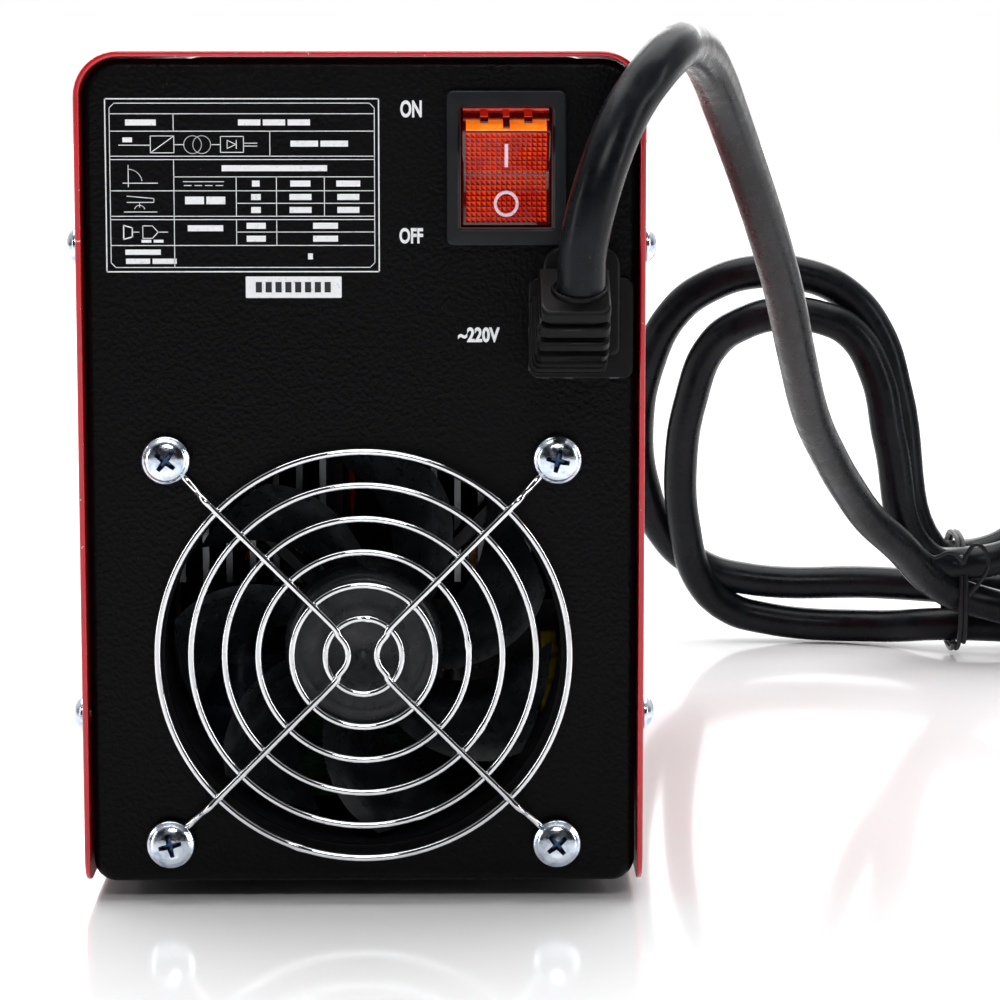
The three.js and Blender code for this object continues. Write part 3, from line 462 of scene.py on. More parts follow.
def wound_tape():
    """Yellow polyester tape in overlapping turns, painted near-black as shade left of x = 39 mm."""
    finish = Finish("wound_tape", (0.80, 0.58, 0.03), 0.3, specular=0.5)
    turns = finish.waves(6 * MM, "Z")
    yellow = finish.tint(finish.spread(turns, 0.75, 1.0), (0.52, 0.33, 0.02))
    # Painted shade: everything left of x = 39 mm is near-black; only the right-hand sliver shows yellow.
    painted_shade_left = finish.spread(finish.along("X"), 38.6 * MM, 39.4 * MM, 1.0, 0.0)
    finish.put("Base Color", finish.tint(painted_shade_left, (0.012, 0.008, 0.006), yellow))
    finish.put("Roughness", finish.spread(finish.noise(3 * MM), 0.3, 0.7, 0.22, 0.4))
    return finish.bump(turns, 0.08 * MM).material


def wound_copper():
    """Enamelled copper wire wound side by side."""
    finish = Finish("wound_copper", colours().copper, 0.25, metallic=0.9)
    wires = finish.waves(1.6 * MM, "X", distortion=0.4)
    finish.put("Base Color", finish.tint(finish.spread(wires, 0.0, 0.4, 1.0, 0.0), (0.22, 0.05, 0.02)))
    return finish.bump(wires, 0.4 * MM).material


def circuit_laminate():
    """Green solder resist over faint tracks and drilled pads."""
    finish = Finish("circuit_laminate", (0.006, 0.05, 0.02), 0.3, specular=0.4)
    tracks = finish.spread(finish.cells(5 * MM), 0.45, 0.5)
    pads = finish.spread(finish.cells(3.1 * MM), 0.10, 0.14, 1.0, 0.0)
    tracked = finish.tint(tracks, (0.012, 0.09, 0.032))
    finish.put("Base Color", finish.tint(pads, (0.62, 0.6, 0.55), tracked))
    finish.put("Roughness", finish.spread(finish.noise(4 * MM), 0.3, 0.7, 0.22, 0.4))
    return finish.bump(tracks, 0.04 * MM).material


def shrink_sleeve():
    """Heat-shrunk sleeve of the capacitors with thin pale rings round it about 12 mm apart."""
    finish = Finish("shrink_sleeve", (0.012, 0.016, 0.032), 0.25, specular=0.5)
    ring = finish.waves(12 * MM, "Z")
    finish.put("Base Color", finish.tint(finish.spread(ring, 0.9, 0.98), (0.03, 0.035, 0.06)))
    finish.put("Roughness", finish.spread(finish.noise(3 * MM), 0.3, 0.7, 0.18, 0.34))
    return finish.bump(finish.noise(5 * MM), 0.06 * MM).material


def studio_floor():
    """Pale gloss floor with the slightest cloudiness, and a painted white glow that grows with distance from the
    machine.
    """
    finish = Finish("studio_floor", colours().floor, 0.09, specular=0.5)
    cloud = finish.spread(finish.noise(0.4, detail=2.0), 0.3, 0.7)
    finish.put("Base Color", finish.tint(cloud, shade(colours().floor, 0.985)))
    distance = finish.node("ShaderNodeVectorMath", Vector=finish.place)
    distance.operation = "LENGTH"
    # Painted light: the floor glows white, from none at 0.35 m to a strength of 0.75 at 1.3 m from its centre under
    # the machine, standing in for studio light.
    finish.put("Emission Color", (1.0, 1.0, 1.0, 1.0))
    finish.put("Emission Strength", finish.spread(distance.outputs["Value"], 0.35, 1.3, 0.0, 0.75))
    return finish.bump(finish.noise(0.05), 0.01 * MM).material


FINISHES = {
    "red_paint": red_gloss_paint,
    "black_powder_coat": black_powder_coat,
    "black_plastic": moulded_plastic,
    "fan_blades": blade_plastic,
    "cord_rubber": cord_rubber,
    "boot_rubber": boot_rubber,
    "foot_rubber": foot_rubber,
    "chrome_wire": chrome_wire,
    "zinc_screw": zinc_plate,
    # Painted shade: a dark blue copy of the zinc for the screws' cross recesses.
    "recess_painted_shade": lambda: turned_metal("recess_painted_shade", (0.06, 0.10, 0.19), 0.3),
    "brass": lambda: turned_metal("turned_brass", colours().brass, 0.26),
    "copper": lambda: turned_metal("copper_bar", colours().copper, 0.3),
    "steel": lambda: turned_metal("turned_steel", (0.55, 0.56, 0.58), 0.24),
    "aluminium": extruded_aluminium,
    "red_lens": rocker_lens,
    "amber_band": lambda: clear_lens("lit_amber_band", (0.95, 0.17, 0.01), 0.55),
    "smoked_lens": lambda: clear_lens("smoked_window", (0.012, 0.003, 0.004), 0.0),
    "green_lens": lambda: clear_lens("green_lamp", (0.05, 0.62, 0.10), 0.5),
    "amber_lens": lambda: clear_lens("amber_lamp", (0.85, 0.38, 0.02), 0.15),
    "lit_segments": lambda: clear_lens("lit_segments", (1.0, 0.05, 0.02), 1.6),
    "dark_segments": lambda: clear_lens("unlit_segments", (0.03, 0.004, 0.004), 0.0),
    "white_ink": lambda: printed_ink("white_ink", colours().ink),
    "black_ink": lambda: printed_ink("black_ink", (0.02, 0.02, 0.022)),
    # Painted shade: two darker, faintly glowing copies of the rocker's red; painted highlight: a brighter copy.
    "rocker_shade": lambda: clear_lens("shaded_rocker_plastic", (0.22, 0.006, 0.003), 0.10),
    "rocker_deep_shade": lambda: clear_lens("rocker_deep_shade_plastic", (0.060, 0.003, 0.003), 0.10),
    "rocker_glint": lambda: clear_lens("rocker_painted_glint", (0.70, 0.02, 0.008), 0.35),
    "legend_ink": lambda: printed_ink("legend_ink", (0.90, 0.66, 0.74)),
    "ferrite": ferrite_core,
    "yellow_tape": wound_tape,
    "wound_copper": wound_copper,
    "circuit_board": circuit_laminate,
    "capacitor_sleeve": shrink_sleeve,
    "red_wire": lambda: moulded_plastic("red_wire_sheath", (0.48, 0.012, 0.01), 0.35, 0.6 * MM),
    "floor": studio_floor,
}
made_finishes = {}


def finish_of(key):
    """The material for a finish, made the first time it is asked for."""
    if key not in made_finishes:
        made_finishes[key] = FINISHES[key]()
    return made_finishes[key]


# ---- mesh building --------------------------------------------------------------------------------


def skin_between(bm, lower, upper, material=0, closed=True):
    """Quads between two rows of vertices of the same length."""
    count = len(lower)
    for index in range(count if closed else count - 1):
        following = (index + 1) % count
        face = bm.faces.new((lower[index], lower[following], upper[following], upper[index]))
        face.material_index = material


def turned(bm, profile, origin, axis, segments=48, material=0):
    """A skin of (radius, distance along the axis) pairs, which ends on the axis or closes on itself."""
    axis = Vector(axis).normalized()
    side = axis.orthogonal().normalized()
    other = axis.cross(side)
    loops = profile[:-1] if profile[0] == profile[-1] else profile
    rows = []
    for radius, distance in loops:
        centre = Vector(origin) + axis * distance
        if radius == 0:
            rows.append([bm.verts.new(centre)])
            continue
        row = []
        for step in range(segments):
            angle = TAU * step / segments
            row.append(bm.verts.new(centre + (side * math.cos(angle) + other * math.sin(angle)) * radius))
        rows.append(row)
    pairs = list(zip(rows, rows[1:]))
    if profile[0] == profile[-1]:
        pairs.append((rows[-1], rows[0]))
    for lower, upper in pairs:
        if len(lower) == 1 or len(upper) == 1:
            pole, ring = (lower[0], upper) if len(lower) == 1 else (upper[0], lower)
            for step in range(segments):
                face = bm.faces.new((pole, ring[step], ring[(step + 1) % segments]))
                face.material_index = material
        else:
            skin_between(bm, lower, upper, material)


def wire(bm, centres, radius, sides=12, closed=False, material=0):
    """A round wire along the centres; radius may be a list with one value for each centre."""
    centres = [Vector(centre) for centre in centres]
    count = len(centres)
    radii = radius if isinstance(radius, list) else [radius] * count
    rows = []
    normal = None
    for index, centre in enumerate(centres):
        if closed:
            tangent = centres[(index + 1) % count] - centres[index - 1]
        else:
            tangent = centres[min(index + 1, count - 1)] - centres[max(index - 1, 0)]
        tangent.normalize()
        normal = tangent.orthogonal() if normal is None else normal - tangent * normal.dot(tangent)
        normal.normalize()
        binormal = tangent.cross(normal)
        row = []
        for side in range(sides):
            angle = TAU * side / sides
            offset = (normal * math.cos(angle) + binormal * math.sin(angle)) * radii[index]
            row.append(bm.verts.new(centre + offset))
        rows.append(row)
    for lower, upper in zip(rows, rows[1:]):
        skin_between(bm, lower, upper, material)
    if closed:
        skin_between(bm, rows[-1], rows[0], material)
    else:
        for row in (rows[0], rows[-1]):
            bm.faces.new(row).material_index = material


def smooth_route(points, steps):
    """Points along a Catmull-Rom curve through the given ones."""
    points = [Vector(point) for point in points]
    padded = [points[0] * 2 - points[1], *points, points[-1] * 2 - points[-2]]
    route = []
    for before, start, end, after in zip(padded, padded[1:], padded[2:], padded[3:]):
        for step in range(steps):
            t = step / steps
            route.append(
                0.5
                * (
                    2 * start
                    + (end - before) * t
                    + (2 * before - 5 * start + 4 * end - after) * t * t
                    + (3 * start - before - 3 * end + after) * t**3
                )
            )
    return [*route, points[-1]]


def rounded_outline(centre, half, radii, inset=0.0, steps=8):
    """A rounded rectangle's points, counted anticlockwise; radii are those of its low and high corners."""
    half_width = half[0] - inset
    half_height = half[1] - inset
    points = []
    for corner, (across, up) in enumerate(((1, -1), (1, 1), (-1, 1), (-1, -1))):
        radius = max(radii[0] if up < 0 else radii[1], 0.0) - inset
        radius = max(radius, 0.02 * MM)
        for step in range(steps + 1):
            angle = (corner - 1 + step / steps) * math.pi / 2
            points.append(
                (
                    centre[0] + across * (half_width - radius) + radius * math.cos(angle),
                    centre[1] + up * (half_height - radius) + radius * math.sin(angle),
                )
            )
    return points


def round_outline(centre, radius, inset=0.0, steps=96):
    return [
        (
            centre[0] + (radius - inset) * math.cos(TAU * step / steps),
            centre[1] + (radius - inset) * math.sin(TAU * step / steps),
        )
        for step in range(steps)
    ]


def layered(bm, rims, place, material=0):
    """A plate or tray: each rim is an outline function and its (inset, depth) steps from face to back.

    The outline functions take an inset; place turns (across, up, depth) into a point. The first and the
    last steps of all rims are filled across, so rims after the first become holes.
    """
    fronts, backs = [], []
    for outline, steps in rims:
        rows = [
            [bm.verts.new(place(across, up, depth)) for across, up in outline(inset)]
            for inset, depth in steps
        ]
        for lower, upper in zip(rows, rows[1:]):
            skin_between(bm, lower, upper, material)
        fronts.append(rows[0])
        backs.append(rows[-1])
    for loops in (fronts, backs):
        edges = []
        for loop in loops:
            edges.extend(bm.edges.get((loop[index - 1], loop[index])) for index in range(len(loop)))
        filled = bmesh.ops.triangle_fill(bm, use_beauty=True, use_dissolve=False, edges=edges)
        for item in filled["geom"]:
            if isinstance(item, bmesh.types.BMFace):
                item.material_index = material


def rounded_steps(thickness, edge, arc=3):
    """The (inset, depth) steps of a plate with both edges rounded."""
    steps = []
    for step in range(arc + 1):
        angle = step / arc * math.pi / 2
        steps.append((edge * (1 - math.sin(angle)), edge * (1 - math.cos(angle))))
    return steps + [(inset, thickness - depth) for inset, depth in reversed(steps)]


def hole_steps(thickness, edge, arc=3):
    """The same for a hole, whose edges open outwards."""
    return [(-inset, depth) for inset, depth in rounded_steps(thickness, edge, arc)]


def facing_rear(face_y):
    """Places plate points whose face looks along -Y at face_y."""
    return lambda across, up, depth: Vector((across, face_y + depth, up))


def facing_front(face_y):
    """Places plate points whose face looks along +Y at face_y."""
    return lambda across, up, depth: Vector((across, face_y - depth, up))


def bevelled_box(bm, low, high, edge=0.3 * MM, material=0):
    """A box with rounded edges, seen face-on along Y."""
    low, high = Vector(low), Vector(high)
    centre = ((low.x + high.x) / 2, (low.z + high.z) / 2)
    half = ((high.x - low.x) / 2, (high.z - low.z) / 2)
    edge = min(edge, *half, (high.y - low.y) / 2) * 0.98
    outline = lambda inset: rounded_outline(centre, half, (edge * 1.2, edge * 1.2), inset, 3)
    layered(bm, [(outline, rounded_steps(high.y - low.y, edge, 2))], facing_rear(low.y), material)


def make_piece(name, bm, finish_keys, body="case", replaces=(), crease=35.0):
    """Turns a bmesh into a piece of the object that rides on a body."""
    bmesh.ops.recalc_face_normals(bm, faces=bm.faces)
    limit = math.radians(crease)
    for face in bm.faces:
        face.smooth = True
    for edge in bm.edges:
        if len(edge.link_faces) == 2 and edge.calc_face_angle() > limit:
            edge.smooth = False
    mesh = bpy.data.meshes.new(name)
    bm.to_mesh(mesh)
    bm.free()
    for key in finish_keys:
        mesh.materials.append(finish_of(key))
    piece = bpy.data.objects.new(name, mesh)
    bpy.context.scene.collection.objects.link(piece)
    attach(piece, body)
    if replaces:
        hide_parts(*replaces)
    return piece


def hold_normals(piece):
    """Keeps broad flat faces flat where they meet small rounded edges."""
    modifier = piece.modifiers.new("flat faces", "WEIGHTED_NORMAL")
    modifier.keep_sharp = True
    modifier.weight = 100


def refinish(node, key):
    """Gives a CAD node that stays its finished material."""
    slots = frame["nodes"][node].material_slots
    for index in range(len(slots)):
        slots[index].material = finish_of(key)


def middle(node):
    low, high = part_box(node)
    return (low + high) / 2


# ---- operators: camera and cord first -------------------------------------------------------------


class WelderOperator(bpy.types.Operator):
    """Base of this add-on's operators."""

    bl_options = {"REGISTER", "UNDO"}

    def execute(self, context):
        self.build()
        return {"FINISHED"}


class WELDER_OT_camera(WelderOperator):
    """Place the camera level with the cover's top, behind the rear panel"""

    bl_idname = "welder.camera"
    bl_label = "Camera"

    def build(self):
        data = bpy.data.cameras.new("studio_camera")
        data.lens = 123.4
        data.sensor_width = 36.0
        data.clip_start = 0.01
        camera = bpy.data.objects.new("studio_camera", data)
        camera.location = (0.0207, -0.8370, 0.1809)
        camera.rotation_euler = (math.radians(82.542), 0.0, math.radians(-0.670))
        bpy.context.scene.collection.objects.link(camera)
        bpy.context.scene.camera = camera


def eased(value):
    value = min(1.0, max(0.0, value))
    return value * value * (3 - 2 * value)


def standing_loop(centre, reach, rise, depths, start, end, points=13):
    """One standing turn of the hank: a round-ended loop, from angle start to end in degrees.

    The loop stands in X and Z; depths are its Y at the start and at the end, reached past its top.
    """
    route = []
    for index in range(points):
        share = index / (points - 1)
        angle = math.radians(start + (end - start) * share)
        lift = max(-1.0, min(1.0, math.sin(angle) * 1.4)) * rise
        depth = depths[0] + (depths[1] - depths[0]) * eased((share - 0.3) / 0.6)
        route.append(
            Vector((centre[0] + reach * math.cos(angle), depth, centre[1] + reach * math.sin(angle) + lift))
        )
    return route


def hank_route():
    """The cord from the lead's end through the hank's turns to the plug."""
    plug_low, plug_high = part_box("plug_body")
    plug = (plug_low + plug_high) / 2
    waist = lambda depth, height, shift=0.0: Vector((HANK_WAIST_X + shift, depth, height))
    right = dict(centre=(0.2355, 0.0555), reach=0.0300, rise=0.0205)
    route = [waist(0.1730, 0.0215, -0.004), waist(0.1790, 0.0155, 0.012)]
    route += standing_loop(**right, depths=(0.1790, 0.1680), start=-100, end=182)
    route += [waist(0.1720, 0.0340, 0.018), waist(0.1740, 0.0295, 0.003), waist(0.1680, 0.0330, -0.012)]
    route += standing_loop((0.1175, 0.0560), 0.0300, 0.0190, (0.1620, 0.2090), 12, 262)
    route += [waist(0.2030, 0.0055, -0.022), waist(0.1900, 0.0082, 0.0)]
    route += standing_loop(**right, depths=(0.1900, 0.1880), start=-100, end=182)
    route += [waist(0.1880, 0.0345, 0.018), waist(0.1850, 0.0300, 0.003), waist(0.1740, 0.0345, -0.0095)]
    route += standing_loop((0.1125, 0.0680), 0.0380, 0.0110, (0.1685, 0.2110), 14, 262)
    route += [waist(0.2060, 0.0185, -0.020), waist(0.1975, 0.0185, 0.0)]
    route += standing_loop((0.2355, 0.0605), 0.0300, 0.0160, (0.2050, 0.2080), -100, 178)
    route += [
        Vector((0.2085, 0.2060, 0.0400)),
        Vector((0.2170, 0.1960, 0.0255)),
        Vector((0.2275, 0.1790, 0.0200)),
        Vector((plug.x, plug_high.y + 0.0040, plug.z)),
        Vector((plug.x, plug_high.y - 0.0060, plug.z)),
    ]
    return route


class WELDER_OT_cord(WelderOperator):
    """Lay the mains cord from its boot over the cover's corner and through the tied hank to the plug"""

    bl_idname = "welder.cord"
    bl_label = "Mains cord"

    def build(self):
        lead_in = [Vector((0.0447, -0.1325, 0.1265))]
        route = lead_in + [Vector(point) for point in LEAD_ROUTE] + hank_route()
        data = bpy.data.curves.new("mains_cord", "CURVE")
        data.dimensions = "3D"
        data.resolution_u = 10
        data.bevel_depth = sizes().cord
        data.bevel_resolution = 6
        data.use_fill_caps = True
        spline = data.splines.new("BEZIER")
        spline.bezier_points.add(len(route) - 1)
        for knot, point in zip(spline.bezier_points, route):
            knot.co = point
            knot.handle_left_type = "AUTO"
            knot.handle_right_type = "AUTO"
        data.materials.append(finish_of("cord_rubber"))
        cord = bpy.data.objects.new("mains_cord", data)
        bpy.context.scene.collection.objects.link(cord)
        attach(cord, "case")
        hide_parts("mains_cable_lead", "mains_cable_hank")
        tie = self.make_tie()
        plug = self.make_plug()
        pins = self.make_pins()

    def make_tie(self):
        """A soft wire tie: two turns round the waist, a twist in front and two curled tails."""
        low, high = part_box("cable_tie")
        band_low, band_high = 0.0020, 0.0368
        centre = Vector((HANK_WAIST_X, 0.1862, (band_low + band_high) / 2))
        half_depth, half_height = 0.0168, (band_high - band_low) / 2
        bm = bmesh.new()
        turns = []
        for step in range(89):
            angle = TAU * 2.0 * step / 88 - 2.3
            bulge = 1.0 / (abs(math.cos(angle)) ** 2.6 + abs(math.sin(angle)) ** 2.6) ** (1 / 2.6)
            turns.append(
                centre
                + Vector(
                    (
                        -1.4 * MM + 2.8 * MM * step / 88,
                        half_depth * math.cos(angle) * bulge,
                        half_height * math.sin(angle) * bulge,
                    )
                )
            )
        wire(bm, turns, 0.75 * MM, 8)
        knot = Vector((HANK_WAIST_X - 1.0 * MM, low.y + 5.0 * MM, 0.0315))
        twist = []
        for step in range(25):
            angle = TAU * 1.5 * step / 24
            twist.append(
                knot
                + Vector((0.8 * MM * math.cos(angle), -5.0 * MM * step / 24, 0.8 * MM * math.sin(angle)))
            )
        wire(bm, twist, 0.7 * MM, 8)
        left_tail = [(0, 0, 0), (-4, -1, 3), (-9, -1.5, 1.5), (-13, -2, 4.5), (-16, -2.5, 3), (-19, -2, 5)]
        right_tail = [(0, 0, 0), (3, -0.5, 5), (6, -1, 4), (7.5, -1, -1), (5, -0.5, -6), (2, 0, -10)]
        for tail in (left_tail, right_tail):
            start = knot + Vector((0, -5.0 * MM, 0))
            wire(bm, smooth_route([start + Vector(point) * MM for point in tail], 5), 0.65 * MM, 8)
        return make_piece("wire_tie", bm, ["black_plastic"], "case", ["cable_tie"])

    def make_plug(self):
        """The mains plug: a round face, a waisted grip with flutes, and a ribbed tail round the cord."""
        low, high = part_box("plug_body")
        centre = (low + high) / 2
        bm = bmesh.new()
        rows = []
        stations = [
            (0.0, 15.6, 0.0), (0.4, 16.6, 0.0), (1.4, 17.9, 0.0), (2.6, 18.4, 0.0), (10.5, 18.4, 0.0),
            (11.8, 17.6, 0.25), (13.0, 16.7, 0.7), (16.0, 14.6, 1.1), (20.0, 13.0, 1.1), (23.0, 12.2, 0.5),
            (24.6, 11.2, 0.0),
        ]  # distance from the face, radius and depth of the flutes, in millimetres
        for rib in range(4):
            start = 25.2 + rib * 2.7
            swell = 9.6 - rib * 0.55
            stations += [(start, swell - 1.5, 0.0), (start + 0.4, swell, 0.0), (start + 1.5, swell, 0.0)]
            stations += [(start + 1.9, swell - 1.5, 0.0)]
        stations += [(36.0, 6.4, 0.0)]
        sides = 72
        for distance, radius, flute in stations:
            row = []
            for side in range(sides):
                angle = TAU * side / sides
                reach = radius - flute * (0.5 + 0.5 * math.cos(12 * angle))
                offset = Vector((math.cos(angle), 0.0, math.sin(angle))) * reach * MM
                row.append(bm.verts.new(Vector((centre.x, low.y + distance * MM, centre.z)) + offset))
            rows.append(row)
        for lower, upper in zip(rows, rows[1:]):
            skin_between(bm, lower, upper)
        bm.faces.new(rows[0])
        bm.faces.new(rows[-1])
        return make_piece("mains_plug", bm, ["boot_rubber"], "case", ["plug_body"])

    def make_pins(self):
        """Two round pins with insulated roots and rounded tips."""
        pins = []
        for number in (1, 2):
            node = f"plug_pin_{number}"
            low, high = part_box(node)
            centre = Vector(((low.x + high.x) / 2, high.y, (low.z + high.z) / 2))
            bm = bmesh.new()
            tip = [(0, 19), (1.0, 18.9), (1.7, 18.5), (2.15, 17.8), (2.3, 17.0), (2.3, 10.0), (2.4, 9.9)]
            root = [(2.4, 0.0), (0, 0)]
            profile = [(radius * MM, distance * MM) for radius, distance in tip + root]
            turned(bm, profile, centre, (0, -1, 0), 28)
            for face in bm.faces:
                if face.calc_center_median().y > high.y - 9.9 * MM:
                    face.material_index = 1
            name = f"plug_contact_{number}"
            pins.append(make_piece(name, bm, ["brass", "black_plastic"], "case", [node]))
        return pins


# ---- sheet metal ----------------------------------------------------------------------------------


class WELDER_OT_cover(WelderOperator):
    """Fold the red cover from one flat sheet with its slots and rounded flap corners"""

    bl_idname = "welder.cover"
    bl_label = "Cover"

    def build(self):
        sheet = sizes().sheet
        bend = sizes().cover_bend
        half_width = COVER_HIGH.x
        top = COVER_HIGH.z
        flat_half = half_width - bend
        arc = bend * math.pi / 2
        flap = top - bend - COVER_LOW.z
        half_length = flat_half + arc + flap
        middle_y = (COVER_LOW.y + COVER_HIGH.y) / 2
        half_y = (COVER_HIGH.y - COVER_LOW.y) / 2

        def slot_rim(across, along, half_across, half_along):
            radius = min(half_across, half_along) * 0.98
            outline = lambda inset: rounded_outline(
                (across, along), (half_across, half_along), (radius, radius), inset, 4
            )
            return outline, hole_steps(sheet, 0.25 * MM, 2)

        outer = lambda inset: rounded_outline(
            (0.0, middle_y), (half_length, half_y), (6 * MM, 6 * MM), inset, 6
        )
        rims = [(outer, rounded_steps(sheet, 0.4 * MM))]
        for along in (-88 * MM, 92 * MM):
            rims.append(slot_rim(0.0, along, 18 * MM, 2.9 * MM))
        louvre_low, louvre_high = 62 * MM, 106 * MM
        louvre_middle = flat_half + arc + (top - bend) - (louvre_low + louvre_high) / 2
        for side in (-1, 1):
            for slot in range(8):
                along = (29.5 + slot * 8) * MM
                rims.append(slot_rim(side * louvre_middle, along, (louvre_high - louvre_low) / 2, 1.5 * MM))
        bm = bmesh.new()
        layered(bm, rims, lambda across, up, depth: Vector((across, up, depth)))

        bend_steps = 10
        cuts = [flat_half - 0.3 * MM, flat_half + arc + 0.3 * MM]
        cuts += [flat_half + arc * step / bend_steps for step in range(bend_steps + 1)]
        for cut in cuts:
            for side in (-1, 1):
                everything = bm.verts[:] + bm.edges[:] + bm.faces[:]
                bmesh.ops.bisect_plane(
                    bm, geom=everything, dist=1e-7, plane_co=(side * cut, 0, 0), plane_no=(1, 0, 0)
                )
        for vert in bm.verts:
            across, along, depth = vert.co
            side = 1 if across >= 0 else -1
            reach = abs(across)
            if reach <= flat_half:
                vert.co = (across, along, top - depth)
            elif reach < flat_half + arc:
                angle = (reach - flat_half) / bend
                radius = bend - depth
                vert.co = (
                    side * (flat_half + radius * math.sin(angle)),
                    along,
                    top - bend + radius * math.cos(angle),
                )
            else:
                vert.co = (side * (half_width - depth), along, top - bend - (reach - flat_half - arc))
        cover = make_piece("red_cover", bm, ["red_paint"], "case", ["top_cover"])
        hold_normals(cover)


def panel_tray_rim(low, high):
    """The outline and steps of a panel whose edges are folded back and end in a rounded lip."""
    sheet = sizes().sheet
    bend = sizes().panel_bend
    flange = sizes().panel_flange
    centre = (0.0, (low.z + high.z) / 2)
    half = (high.x, (high.z - low.z) / 2)
    outline = lambda inset: rounded_outline(centre, half, (5 * MM, 7.9 * MM), inset, 10)
    steps = []
    for step in range(7):
        angle = step / 6 * math.pi / 2
        steps.append((bend * (1 - math.sin(angle)), bend * (1 - math.cos(angle))))
    lip = 0.3 * MM
    steps += [(0.0, flange - lip), (lip, flange), (sheet - lip, flange), (sheet, flange - lip)]
    steps += [(sheet, bend + 0.2 * MM), (sheet + 0.25 * MM, bend - 0.45 * MM), (bend + 0.3 * MM, sheet)]
    return outline, steps


def drilled_rim(centre, radius, sides=48):
    """A round hole through a panel, with slightly rounded edges."""
    outline = lambda inset: round_outline(centre, radius, inset, sides)
    return outline, hole_steps(sizes().sheet, 0.25 * MM)


def flat_print(bm, place, across, up, material=0, lift=None):
    """One printed rectangle: across and up are (low, high) pairs on a panel."""
    lift = lift or sizes().print_height
    corners = [(across[0], up[0]), (across[1], up[0]), (across[1], up[1]), (across[0], up[1])]
    face = [bm.verts.new(place(x, z, -lift)) for x, z in corners]
    root = [bm.verts.new(place(x, z, 0.01 * MM)) for x, z in corners]
    bm.faces.new(face).material_index = material
    bm.faces.new(root[::-1]).material_index = material
    skin_between(bm, root, face, material)


def printed_line(bm, place, points, width, material=0):
    """A printed line through points on a panel, as one strip for each stretch."""
    lift = sizes().print_height
    for start, end in zip(points, points[1:]):
        start, end = Vector(start), Vector(end)
        along = (end - start).normalized() * width / 2
        side = Vector((-along.y, along.x))
        corners = [start - along - side, end + along - side, end + along + side, start - along + side]
        face = [bm.verts.new(place(point.x, point.y, -lift)) for point in corners]
        root = [bm.verts.new(place(point.x, point.y, 0.01 * MM)) for point in corners]
        bm.faces.new(face).material_index = material
        bm.faces.new(root[::-1]).material_index = material
        skin_between(bm, root, face, material)


def printed_ring(bm, place, centre, radius, width, span=(0.0, 360.0), steps=36, material=0):
    """A printed circle or arc."""
    points = []
    for step in range(steps + 1):
        angle = math.radians(span[0] + (span[1] - span[0]) * step / steps)
        points.append((centre[0] + radius * math.cos(angle), centre[1] + radius * math.sin(angle)))
    printed_line(bm, place, points, width, material)


def lettering(bm, text, centre, height, place, squeeze=1.0, weight=0.0, material=0):
    """Adds flat lettering centred on a panel: squeeze narrows it and weight thickens its strokes."""
    data = bpy.data.curves.new("lettering", "FONT")
    data.body = text
    data.size = 1.0
    data.align_x = "CENTER"
    data.offset = weight
    data.resolution_u = 4
    carrier = bpy.data.objects.new("lettering", data)
    bpy.context.scene.collection.objects.link(carrier)
    bpy.context.view_layer.update()
    flat = bpy.data.meshes.new_from_object(carrier.evaluated_get(bpy.context.evaluated_depsgraph_get()))
    bpy.data.objects.remove(carrier)
    bpy.data.curves.remove(data)
    low = min(vert.co.y for vert in flat.vertices)
    high = max(vert.co.y for vert in flat.vertices)
    scale = height / (high - low)
    lift = sizes().print_height
    made = []
    for vert in flat.vertices:
        across = centre[0] + vert.co.x * scale * squeeze
        up = centre[1] + (vert.co.y - (low + high) / 2) * scale
        made.append(bm.verts.new(place(across, up, -lift)))
    faces = []
    for polygon in flat.polygons:
        face = bm.faces.new([made[index] for index in polygon.vertices])
        face.material_index = material
        faces.append(face)
    bpy.data.meshes.remove(flat)
    grown = bmesh.ops.extrude_face_region(bm, geom=faces)
    root = place(0.0, 0.0, 0.01 * MM) - place(0.0, 0.0, -lift)
    for item in grown["geom"]:
        if isinstance(item, bmesh.types.BMVert):
            item.co += root


class WELDER_OT_panels(WelderOperator):
    """Make the rear and front panels with their openings, and finish the base"""

    bl_idname = "welder.panels"
    bl_label = "Panels"

    def build(self):
        sheet = sizes().sheet
        bm = bmesh.new()
        rims = [panel_tray_rim(PANEL_LOW, PANEL_HIGH)]
        rims.append(drilled_rim((FAN_CENTRE.x, FAN_CENTRE.z), sizes().fan_hole, 120))
        nut = middle("strain_relief_nut")
        rims.append(drilled_rim((nut.x, nut.z), 6.5 * MM))
        for node in GUARD_SCREWS:
            screw = middle(node)
            rims.append(drilled_rim((screw.x, screw.z), 2.3 * MM, 24))
        switch = middle("switch_housing")
        rocker_hole = lambda inset: rounded_outline(
            (switch.x, switch.z), (11.2 * MM, 14.2 * MM), (0.6 * MM, 0.6 * MM), inset, 3
        )
        rims.append((rocker_hole, hole_steps(sheet, 0.25 * MM)))
        layered(bm, rims, facing_rear(REAR_Y))
        rear = make_piece("rear_plate", bm, ["black_powder_coat"], "case", ["rear_panel"])
        hold_normals(rear)

        bm = bmesh.new()
        rims = [panel_tray_rim(FRONT_LOW, FRONT_HIGH)]
        low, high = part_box("display_window")
        window = lambda inset: rounded_outline(
            ((low.x + high.x) / 2, (low.z + high.z) / 2),
            ((high.x - low.x) / 2 + 0.3 * MM, (high.z - low.z) / 2 + 0.3 * MM),
            (1 * MM, 1 * MM),
            inset,
            4,
        )
        rims.append((window, hole_steps(sheet, 0.25 * MM)))
        drilled = {"socket_negative_housing": 12.4, "socket_positive_housing": 12.4, "potentiometer": 4.6}
        for node, radius in {**drilled, "led_power": 2.7, "led_fault": 2.7}.items():
            place = middle(node)
            rims.append(drilled_rim((place.x, place.z), radius * MM))
        layered(bm, rims, facing_front(FRONT_Y))
        front = make_piece(
            "front_plate", bm, ["black_powder_coat"], "case", ["front_panel"]
        )
        hold_normals(front)
        refinish("base_pan", "black_powder_coat")


